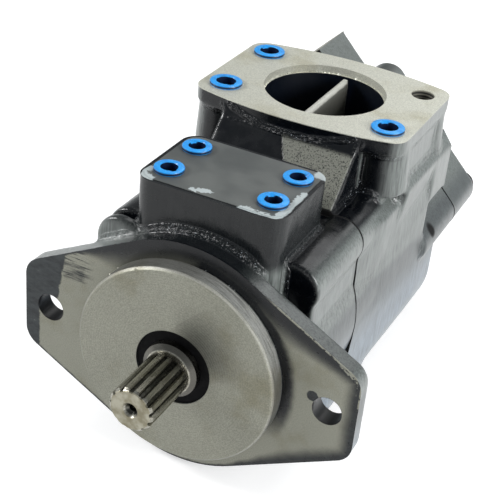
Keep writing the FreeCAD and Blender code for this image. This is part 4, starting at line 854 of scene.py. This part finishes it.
DRAWN_STEEL = ((0.27, 0.26, 0.22), (0.5, 0.485, 0.42))
STAINED_END = ((0.47, 0.45, 0.36), (0.26, 0.235, 0.16))
GROOVE_OIL_AND_SHADE = (0.07, 0.07, 0.062)
COLLAR_STEEL = (0.14, 0.135, 0.12)


def shaft_steel():
    """Drawn bright along the teeth, oily and darkened with painted shade between them, dented and
    stained on its end.
    """
    finish = Finish("shaft_steel")
    turned = finish.cloud(1.0, 2.0, 0.6, finish.stretched(0.35, 9.0, 0.35))
    drawn = finish.cloud(0.9, 3.0, 0.6, finish.stretched(1.0, 0.08, 1.0))
    oil = finish.cloud(6.0, 3.0)
    from_axis = finish.away((finish.x, 0.0), (finish.z, 0.0))
    # Oil and painted shade in the grooves between the teeth.
    groove = finish.both(
        finish.step(from_axis, 10.3, 9.8),
        finish.step(finish.y, -46.0, -45.4),
        finish.step(oil, 0.3, 0.5, 0.7, 1.0),
    )
    collar = finish.both(finish.step(from_axis, 11.4, 11.8), finish.step(from_axis, 14.6, 14.2))
    on_end = finish.step(finish.y, -46.2, -46.6)
    colour = finish.blend(finish.step(drawn, 0.3, 0.7), *DRAWN_STEEL)
    colour = finish.blend(groove, colour, GROOVE_OIL_AND_SHADE)
    colour = finish.blend(collar, colour, COLLAR_STEEL)
    colour = finish.blend(on_end, colour, finish.blend(finish.step(oil, 0.35, 0.65), *STAINED_END))
    dents = finish.both(finish.cloud(2.2, 3.0, 0.6), on_end, 6.0)
    return finish.shade(
        Base_Color=colour,
        Metallic=finish.level(on_end, 1.0, 0.7),
        Roughness=finish.level(on_end, finish.step(oil, 0.3, 0.7, 0.2, 0.3), 0.42),
        Normal=finish.relief(finish.sum("ADD", dents, turned), 0.02),
    )


dress(shaft_steel(), "drive_shaft")


# The shaft seal: nitrile rubber moulded on a pressed steel case, pushed into
# the pilot's bore. Its lips run on the shaft's collar.

CLEAN_RUBBER = (0.0015, 0.0015, 0.002)
DUSTY_RUBBER = (0.007, 0.007, 0.008)


def seal_rubber():
    finish = Finish("seal_rubber")
    dust = finish.cloud(2.0, 4.0, 0.6)
    return finish.shade(
        Base_Color=finish.blend(finish.step(dust, 0.5, 0.8), CLEAN_RUBBER, DUSTY_RUBBER),
        Roughness=finish.step(dust, 0.3, 0.7, 0.5, 0.7),
        Specular_IOR_Level=0.1,
        Normal=finish.relief(finish.cloud(0.5, 2.0), 0.03),
    )


rubber = seal_rubber()
dress(rubber, "shaft_seal", "front_joint_o_ring", "rear_joint_o_ring", "front_plate_seal")
dress(rubber, "rear_plate_seal", "seal_case")


# The bearing and the rings that hold it: ground bearing steel races and
# balls, a brass cage, and spring steel retaining rings.

def plain_steel(name, colour, rough, wave):
    """Clean machined metal with patches about one wave across."""
    finish = Finish(name)
    marks = finish.cloud(wave, 3.0, 0.6)
    darker = tuple(0.7 * part for part in colour)
    return finish.shade(
        Base_Color=finish.blend(finish.step(marks, 0.35, 0.75), colour, darker),
        Metallic=1.0,
        Roughness=finish.step(marks, 0.3, 0.7, rough, rough + 0.14),
        Normal=finish.relief(finish.cloud(0.6, 2.0), 0.012),
    )


race_steel = plain_steel("race_steel", (0.6, 0.6, 0.58), 0.16, 5.0)
dress(race_steel, "bearing_outer_race", "bearing_inner_race")
dress(plain_steel("ball_steel", (0.66, 0.66, 0.65), 0.08, 4.0), "bearing_balls")
dress(plain_steel("cage_brass", (0.56, 0.38, 0.14), 0.3, 3.0), "bearing_cage")
spring_steel = plain_steel("spring_steel", (0.2, 0.2, 0.21), 0.32, 2.0)
dress(spring_steel, "bearing_retaining_ring", "shaft_retaining_ring")
dress(plain_steel("bushing_bronze", (0.48, 0.3, 0.15), 0.28, 3.0), "rear_shaft_bushing")


# The two pumping cartridges: hardened steel cam rings, rotors and vanes
# between bronze-faced plates, held together by pins and screws.

dress(plain_steel("cam_steel", (0.5, 0.5, 0.49), 0.22, 6.0), "front_cam_ring", "rear_cam_ring")
dress(plain_steel("rotor_steel", (0.46, 0.46, 0.45), 0.2, 5.0), "front_rotor", "rear_rotor")
vane_steel = plain_steel("vane_steel", (0.58, 0.58, 0.57), 0.18, 2.5)
for i in range(1, 11):
    dress(vane_steel, "front_vane_%02d" % i, "rear_vane_%02d" % i)
plate_bronze = plain_steel("plate_bronze", (0.5, 0.36, 0.2), 0.3, 6.0)
pin_steel = plain_steel("pin_steel", (0.34, 0.34, 0.34), 0.25, 2.0)
for which in ("front", "rear"):
    dress(plate_bronze, which + "_inlet_plate", which + "_outlet_plate")
    dress(pin_steel, which + "_locating_pins", which + "_cartridge_screws")


# The body bolts: black-oxide socket head cap screws with knurled heads, put in
# from the rear. Four hold the inlet body to the front and four the rear cover.

MOULDED_CORNER = math.radians(32)


class Pattern(NodeLines):
    """A node tree that turns a section about z and sets copies of it in place."""

    def __init__(self, name):
        self.tree = bpy.data.node_groups.new(name, "GeometryNodeTree")
        sockets = self.tree.interface
        sockets.new_socket("Geometry", in_out="OUTPUT", socket_type="NodeSocketGeometry")
        self.entry = self.tree.nodes.new("NodeGroupInput")
        self.sizes = {}

    def size(self, name, millimetres):
        """A named size of the pattern."""
        sockets = self.tree.interface
        socket = sockets.new_socket(name, in_out="INPUT", socket_type="NodeSocketFloat")
        self.sizes[socket.identifier] = millimetres
        return self.entry.outputs[name]

    def joined(self, x, y, z):
        return self.made("ShaderNodeCombineXYZ", X=x, Y=y, Z=z).outputs[0]

    def chosen(self, index, values):
        """The value of that number in the list."""
        node = self.tree.nodes.new("GeometryNodeIndexSwitch")
        node.data_type = "FLOAT"
        while len(node.index_switch_items) < len(values):
            node.index_switch_items.new()
        self.give(node.inputs[0], index)
        for socket, value in zip(node.inputs[1:], values):
            self.give(socket, value)
        return node.outputs[0]

    def turned(self, rows, around):
        """Sweeps rows of (radius, height) round z. A radius may be made from the angle."""
        counts = {"Vertices_X": around + 1, "Vertices_Y": len(rows)}
        grid = self.made("GeometryNodeMeshGrid", Size_X=1.0, Size_Y=1.0, **counts)
        place = self.made("GeometryNodeInputPosition").outputs[0]
        parts = self.made("ShaderNodeSeparateXYZ", Vector=place)
        angle = self.both(self.sum("ADD", parts.outputs[0], 0.5), math.tau)
        row = self.both(self.sum("ADD", parts.outputs[1], 0.5), len(rows) - 1.0)
        row = self.sum("ROUND", row)
        radii = [radius(angle) if callable(radius) else radius for radius, _ in rows]
        radius = self.chosen(row, radii)
        spot = self.joined(
            self.both(radius, self.sum("COSINE", angle)),
            self.both(radius, self.sum("SINE", angle)),
            self.chosen(row, [height for _, height in rows]),
        )
        bent = self.made("GeometryNodeSetPosition", Geometry=grid.outputs["Mesh"], Position=spot)
        closed = self.made("GeometryNodeMergeByDistance", Geometry=bent.outputs[0], Distance=0.001)
        return closed.outputs[0]

    def repeated(self, piece, spots, seed, where=None):
        """Copies of a piece on the spots, each turned about z by chance."""
        chance = self.tree.nodes.new("FunctionNodeRandomValue")
        chance.data_type = "FLOAT"
        turn, = [socket for socket in chance.outputs if socket.enabled]
        for socket in chance.inputs:
            if socket.enabled and socket.name == "Max":
                socket.default_value = math.tau
            if socket.enabled and socket.name == "Seed":
                socket.default_value = seed
        how = {"Selection": where, "Rotation": self.joined(0.0, 0.0, turn)}
        copies = self.made("GeometryNodeInstanceOnPoints", Points=spots, Instance=piece, **how)
        return copies.outputs[0]

    def set_down(self, copies, origin, turn, material, name):
        """Ends the tree, and gives the plain mesh in the pump's frame, in metres."""
        metres = (0.001, 0.001, 0.001)
        origin = tuple(part / 1000 for part in origin)
        where = {"Translation": origin, "Rotation": turn, "Scale": metres}
        placed = self.made("GeometryNodeTransform", Geometry=copies, **where).outputs[0]
        real = self.made("GeometryNodeRealizeInstances", Geometry=placed).outputs[0]
        painted = self.made("GeometryNodeSetMaterial", Geometry=real, Material=material).outputs[0]
        self.made("NodeGroupOutput", Geometry=painted)
        piece = bpy.data.objects.new(name, bpy.data.meshes.new(name))
        bpy.context.scene.collection.objects.link(piece)
        growth = piece.modifiers.new("pattern", "NODES")
        growth.node_group = self.tree
        for identifier, value in self.sizes.items():
            growth[identifier] = value
        plain_mesh(piece)
        piece.data.shade_smooth()
        piece.data.set_sharp_from_angle(angle=MOULDED_CORNER)
        return piece


KNURL_TEETH = 60
M12_HEAD = (9.0, 12.0, 6.0, 5.0)
M10_HEAD = (8.0, 10.0, 5.0, 4.0)
bolt_black = plain_steel("bolt_black", (0.06, 0.06, 0.062), 0.34, 2.0)


def cap_screws(name, node, head, circle, first_turn, under_head, end):
    """Socket head cap screws on a circle round the shaft, heads to the rear."""
    pattern = Pattern(name + "_pattern")
    radius = pattern.size("Head radius", head[0])
    height = pattern.size("Head height", head[1])
    shank = pattern.size("Shank radius", head[2])
    key = pattern.size("Half key width", head[3])
    length = pattern.size("Shank length", under_head - end)
    knurl = pattern.size("Knurl depth", 0.28)

    def knurled(angle):
        wave = pattern.sum("COSINE", pattern.both(angle, KNURL_TEETH))
        tooth = pattern.sum("MULTIPLY_ADD", wave, 0.5, -0.5)
        return pattern.sum("MULTIPLY_ADD", tooth, knurl, radius)

    def six_sided(angle):
        off = pattern.less(pattern.sum("MODULO", angle, math.pi / 3), math.pi / 6)
        return pattern.sum("DIVIDE", key, pattern.sum("COSINE", off))

    tip = pattern.both(length, -1.0)
    socket_floor = pattern.both(height, 0.45)
    rows = [
        (0.0, tip),
        (pattern.less(shank, 0.9), tip),
        (shank, pattern.sum("ADD", tip, 0.9)),
        (shank, 0.0),
        (pattern.less(radius, 0.5), 0.0),
        (knurled, 0.5),
        (knurled, pattern.less(height, 1.5)),
        (radius, pattern.less(height, 1.1)),
        (pattern.less(radius, 0.1), pattern.less(height, 0.5)),
        (pattern.less(radius, 0.8), height),
        (pattern.sum("ADD", key, 1.1), height),
        (six_sided, pattern.less(height, 0.7)),
        (six_sided, socket_floor),
        (0.0, pattern.less(socket_floor, 1.2)),
    ]
    reach = pattern.size("Circle radius", circle)
    ring = pattern.made("GeometryNodeMeshCircle", Vertices=4, Radius=reach).outputs[0]
    first_turn = (0.0, 0.0, first_turn)
    spun = pattern.made("GeometryNodeTransform", Geometry=ring, Rotation=first_turn).outputs[0]
    copies = pattern.repeated(pattern.turned(rows, 2 * KNURL_TEETH), spun, 5)
    to_rear = (-math.pi / 2, 0.0, 0.0)
    piece = pattern.set_down(copies, (0.0, under_head, 0.0), to_rear, bolt_black, name)
    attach(piece, "housing")
    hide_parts(node)


for name, node, head, circle, first_turn in (
    ("front_cap_screws", "front_bolts", M12_HEAD, 60.0, math.pi / 4),
    ("rear_cap_screws", "rear_bolts", M10_HEAD, REAR_SCREW_CIRCLE, 0.0),
):
    tip, top = end_of(node, 0, 1), end_of(node, 1, 1)
    cap_screws(name, node, head, circle, first_turn, top - head[1], tip)


# The transport plugs: bright blue polyethylene, moulded hollow and pushed
# into the threaded holes by hand.

PLUG_BLUE = ((0.02, 0.36, 0.9), (0.012, 0.27, 0.76))
PLUG_WALL_SHADE = (0.004, 0.012, 0.045)


def plug_plastic():
    """Blue plastic, with painted shade on its upright walls and inside its hollow."""
    finish = Finish("plug_plastic")
    flow = finish.cloud(3.0, 3.0)
    blue = finish.blend(finish.step(flow, 0.35, 0.75), *PLUG_BLUE)
    return finish.shade(
        Base_Color=finish.blend(finish.step(finish.facing(2), 0.5, 0.15), blue, PLUG_WALL_SHADE),
        Roughness=finish.step(flow, 0.3, 0.7, 0.3, 0.42),
        Subsurface_Weight=0.08,
        Subsurface_Scale=0.002,
        Normal=finish.relief(finish.cloud(0.7, 2.0), 0.03),
    )


FILM_TOP = end_of("outlet_cover_sheet", 1, 2)
NO_CORNER = 9.0
BACK_RIGHT = 3.0
blue_plastic = plug_plastic()


def thread_plugs(name, node, flange, stem, centre, apart, missing):
    """Open plugs pushed into a port's screw threads, one to each corner of its pad but the missing
    one.
    """
    pattern = Pattern(name + "_pattern")
    rim = pattern.size("Flange radius", flange)
    height = pattern.size("Flange height", 1.9)
    outer = pattern.size("Stem radius", stem)
    wall = pattern.size("Wall", 0.9)
    depth = pattern.size("Stem length", 4.0)
    notch = pattern.size("Notch depth", 0.9)
    inner = pattern.less(outer, wall)
    bottom = pattern.both(depth, -1.0)

    def notched(angle):
        off = pattern.sum("ABSOLUTE", pattern.less(angle, 2.4))
        share = pattern.sum("MULTIPLY_ADD", off, -6.0, 2.4, held=True)
        return pattern.sum("MULTIPLY_ADD", share, notch, inner)

    rows = [
        (inner, bottom),
        (pattern.less(outer, 0.1), bottom),
        (outer, 0.0),
        (pattern.less(rim, 0.25), 0.0),
        (rim, 0.4),
        (rim, pattern.less(height, 0.65)),
        (pattern.less(rim, 0.25), pattern.less(height, 0.2)),
        (pattern.less(rim, 0.75), height),
        (lambda angle: pattern.sum("ADD", notched(angle), 0.3), height),
        (notched, pattern.less(height, 0.35)),
        (inner, pattern.less(height, 1.2)),
        (inner, bottom),
    ]
    across = pattern.size("Hole spacing across", apart[0])
    along = pattern.size("Hole spacing along", apart[1])
    corners = {"Size_X": across, "Size_Y": along, "Vertices_X": 2, "Vertices_Y": 2}
    pad = pattern.made("GeometryNodeMeshGrid", **corners)
    corner = pattern.made("GeometryNodeInputIndex").outputs[0]
    filled = pattern.rest(pattern.sum("COMPARE", corner, missing, 0.5))
    copies = pattern.repeated(pattern.turned(rows, 48), pad.outputs["Mesh"], 9, filled)
    piece = pattern.set_down(copies, centre, (0.0, 0.0, 0.0), blue_plastic, name)
    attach(piece, "housing")
    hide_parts(node)


thread_plugs(
    "outlet_plugs", "outlet_thread_plugs", 7.2, 5.0, (0.0, OUTLET_Y, FILM_TOP), OUTLET_HOLES, NO_CORNER
)
thread_plugs(
    "inlet_plugs", "inlet_thread_plugs", 8.4, 6.0, (0.0, INLET_Y, INLET_TOP), INLET_HOLES, BACK_RIGHT
)


# The sheet over the front outlet: dark masking film that keeps paint and dirt
# out of the port, with silver patches where it is scuffed.

FILM_GREY = ((0.075, 0.082, 0.08), (0.12, 0.128, 0.122))
FILM_EDGE = (0.002, 0.0025, 0.004)


def masking_film():
    """Grey film with a black line round its edge, scuffed to silver like the pad."""
    finish = Finish("masking_film")
    haze = finish.cloud(22.0, 3.0, 0.5)
    scuffed = silver_scuffs(finish)
    side = finish.sum("SUBTRACT", OUTLET_PAD[0] / 2, finish.off_middle(finish.x, 0.0))
    ends = finish.sum("SUBTRACT", OUTLET_PAD[1] / 2, finish.off_middle(finish.y, OUTLET_Y))
    edge = finish.ragged(finish.sum("SMOOTH_MIN", side, ends, 7.0), 6.0, 0.5)
    film = finish.blend(finish.step(haze, 0.3, 0.7), *FILM_GREY)
    film = finish.blend(finish.step(edge, 2.3, 1.6), film, FILM_EDGE)
    ripple = finish.sum("ADD", finish.cloud(9.0, 2.0), finish.both(scuffed, 0.2))
    return finish.shade(
        Base_Color=finish.blend(scuffed, film, SILVER_SCUFF),
        Roughness=finish.level(scuffed, finish.step(haze, 0.3, 0.7, 0.32, 0.42), 0.45),
        Normal=finish.relief(ripple, 0.1),
    )


dress(masking_film(), "outlet_cover_sheet")


# The studio: a wide floor of pale paper, a soft box to each side and one behind,
# and a surround that is white to the camera and dims towards the top.

class Backdrop(NodeLines):
    """The node tree of the floor's paint or of the surround."""

    def __init__(self, owner):
        owner.use_nodes = True
        self.tree = owner.node_tree
        self.tree.nodes.clear()
        self.seen = self.made("ShaderNodeLightPath").outputs


FLOOR_REACH = 6.0
FLOOR_GREY = (0.62, 0.62, 0.62)
WHITE = (1.0, 1.0, 1.0)
SURROUND_BLUE = (0.93, 0.975, 1.0)
floor_mesh = bpy.data.meshes.new("studio_floor")
floor_level = cad_box[0].z - 0.0005
corners = [
    (x * FLOOR_REACH, y * FLOOR_REACH, floor_level) for x, y in ((-1, -1), (1, -1), (1, 1), (-1, 1))
]
floor_mesh.from_pydata(corners, [], [(0, 1, 2, 3)])
studio_floor = bpy.data.objects.new("studio_floor", floor_mesh)
bpy.context.scene.collection.objects.link(studio_floor)
floor_paint = bpy.data.materials.new("floor_paint")
paper = Backdrop(floor_paint)
own_light = paper.both(paper.seen["Is Camera Ray"], 0.6)
own_light = paper.sum("MULTIPLY_ADD", paper.seen["Is Glossy Ray"], 0.34, own_light)
own_light = paper.sum("MULTIPLY_ADD", paper.seen["Is Transmission Ray"], 0.6, own_light)
matt = paper.made("ShaderNodeBsdfDiffuse", Color=FLOOR_GREY).outputs[0]
glow = paper.made("ShaderNodeEmission", Color=WHITE, Strength=own_light).outputs[0]
lit = paper.tree.nodes.new("ShaderNodeAddShader")
paper.give(lit.inputs[0], matt)
paper.give(lit.inputs[1], glow)
paper.made("ShaderNodeOutputMaterial", Surface=lit.outputs[0])
floor_mesh.materials.append(floor_paint)

world = bpy.data.worlds.new("studio_surround")
bpy.context.scene.world = world
around = Backdrop(world)
direction = around.made("ShaderNodeTexCoord").outputs["Generated"]
upward = around.made("ShaderNodeSeparateXYZ", Vector=direction).outputs[2]
dimming = {"From_Min": 0.05, "From_Max": 0.45, "To_Min": 0.55, "To_Max": 0.28}
ceiling = around.made("ShaderNodeMapRange", Value=upward, **dimming)
ceiling.interpolation_type = "SMOOTHSTEP"
strength = around.either(around.seen["Is Camera Ray"], ceiling.outputs["Result"])
sky = around.made("ShaderNodeBackground", Color=SURROUND_BLUE, Strength=strength).outputs[0]
around.made("ShaderNodeOutputWorld", Surface=sky)


def soft_box(name, place, size, watts):
    """A square lamp that faces the middle of the pump."""
    lamp = bpy.data.lights.new(name, "AREA")
    lamp.shape = "SQUARE"
    lamp.size = size
    lamp.energy = watts
    lamp.color = WHITE
    holder = bpy.data.objects.new(name, lamp)
    bpy.context.scene.collection.objects.link(holder)
    holder.location = place
    aim = -(holder.location - (cad_box[0] + cad_box[1]) / 2)
    holder.rotation_mode = "QUATERNION"
    holder.rotation_quaternion = aim.to_track_quat("-Z", "Y")


soft_box("key_box", (-1.0, -0.3, 0.65), 0.34, 11.0)
soft_box("side_box", (1.0, -0.1, 0.5), 0.4, 10.0)
soft_box("back_box", (0.1, 0.9, 0.9), 0.9, 4.0)

# The camera stands where the flange's and both ports' hole patterns meet the photograph.
CAMERA_SHIFT = (0.0045, 0.014)
CAMERA_PLACE = (
    (0.88943, -0.30024, 0.34462, 0.21016),
    (0.44900, 0.43288, -0.78168, -0.41405),
    (0.08551, 0.84998, 0.51982, 0.33946),
    (0.0, 0.0, 0.0, 1.0),
)
camera = bpy.data.cameras.new("photo_camera")
camera.sensor_width = 36.0
camera.lens = 89.27
camera.shift_x, camera.shift_y = CAMERA_SHIFT
camera_stand = bpy.data.objects.new("photo_camera", camera)
bpy.context.scene.collection.objects.link(camera_stand)
camera_stand.matrix_world = Matrix(CAMERA_PLACE)
bpy.context.scene.camera = camera_stand
bpy.context.scene.view_settings.view_transform = "Standard"
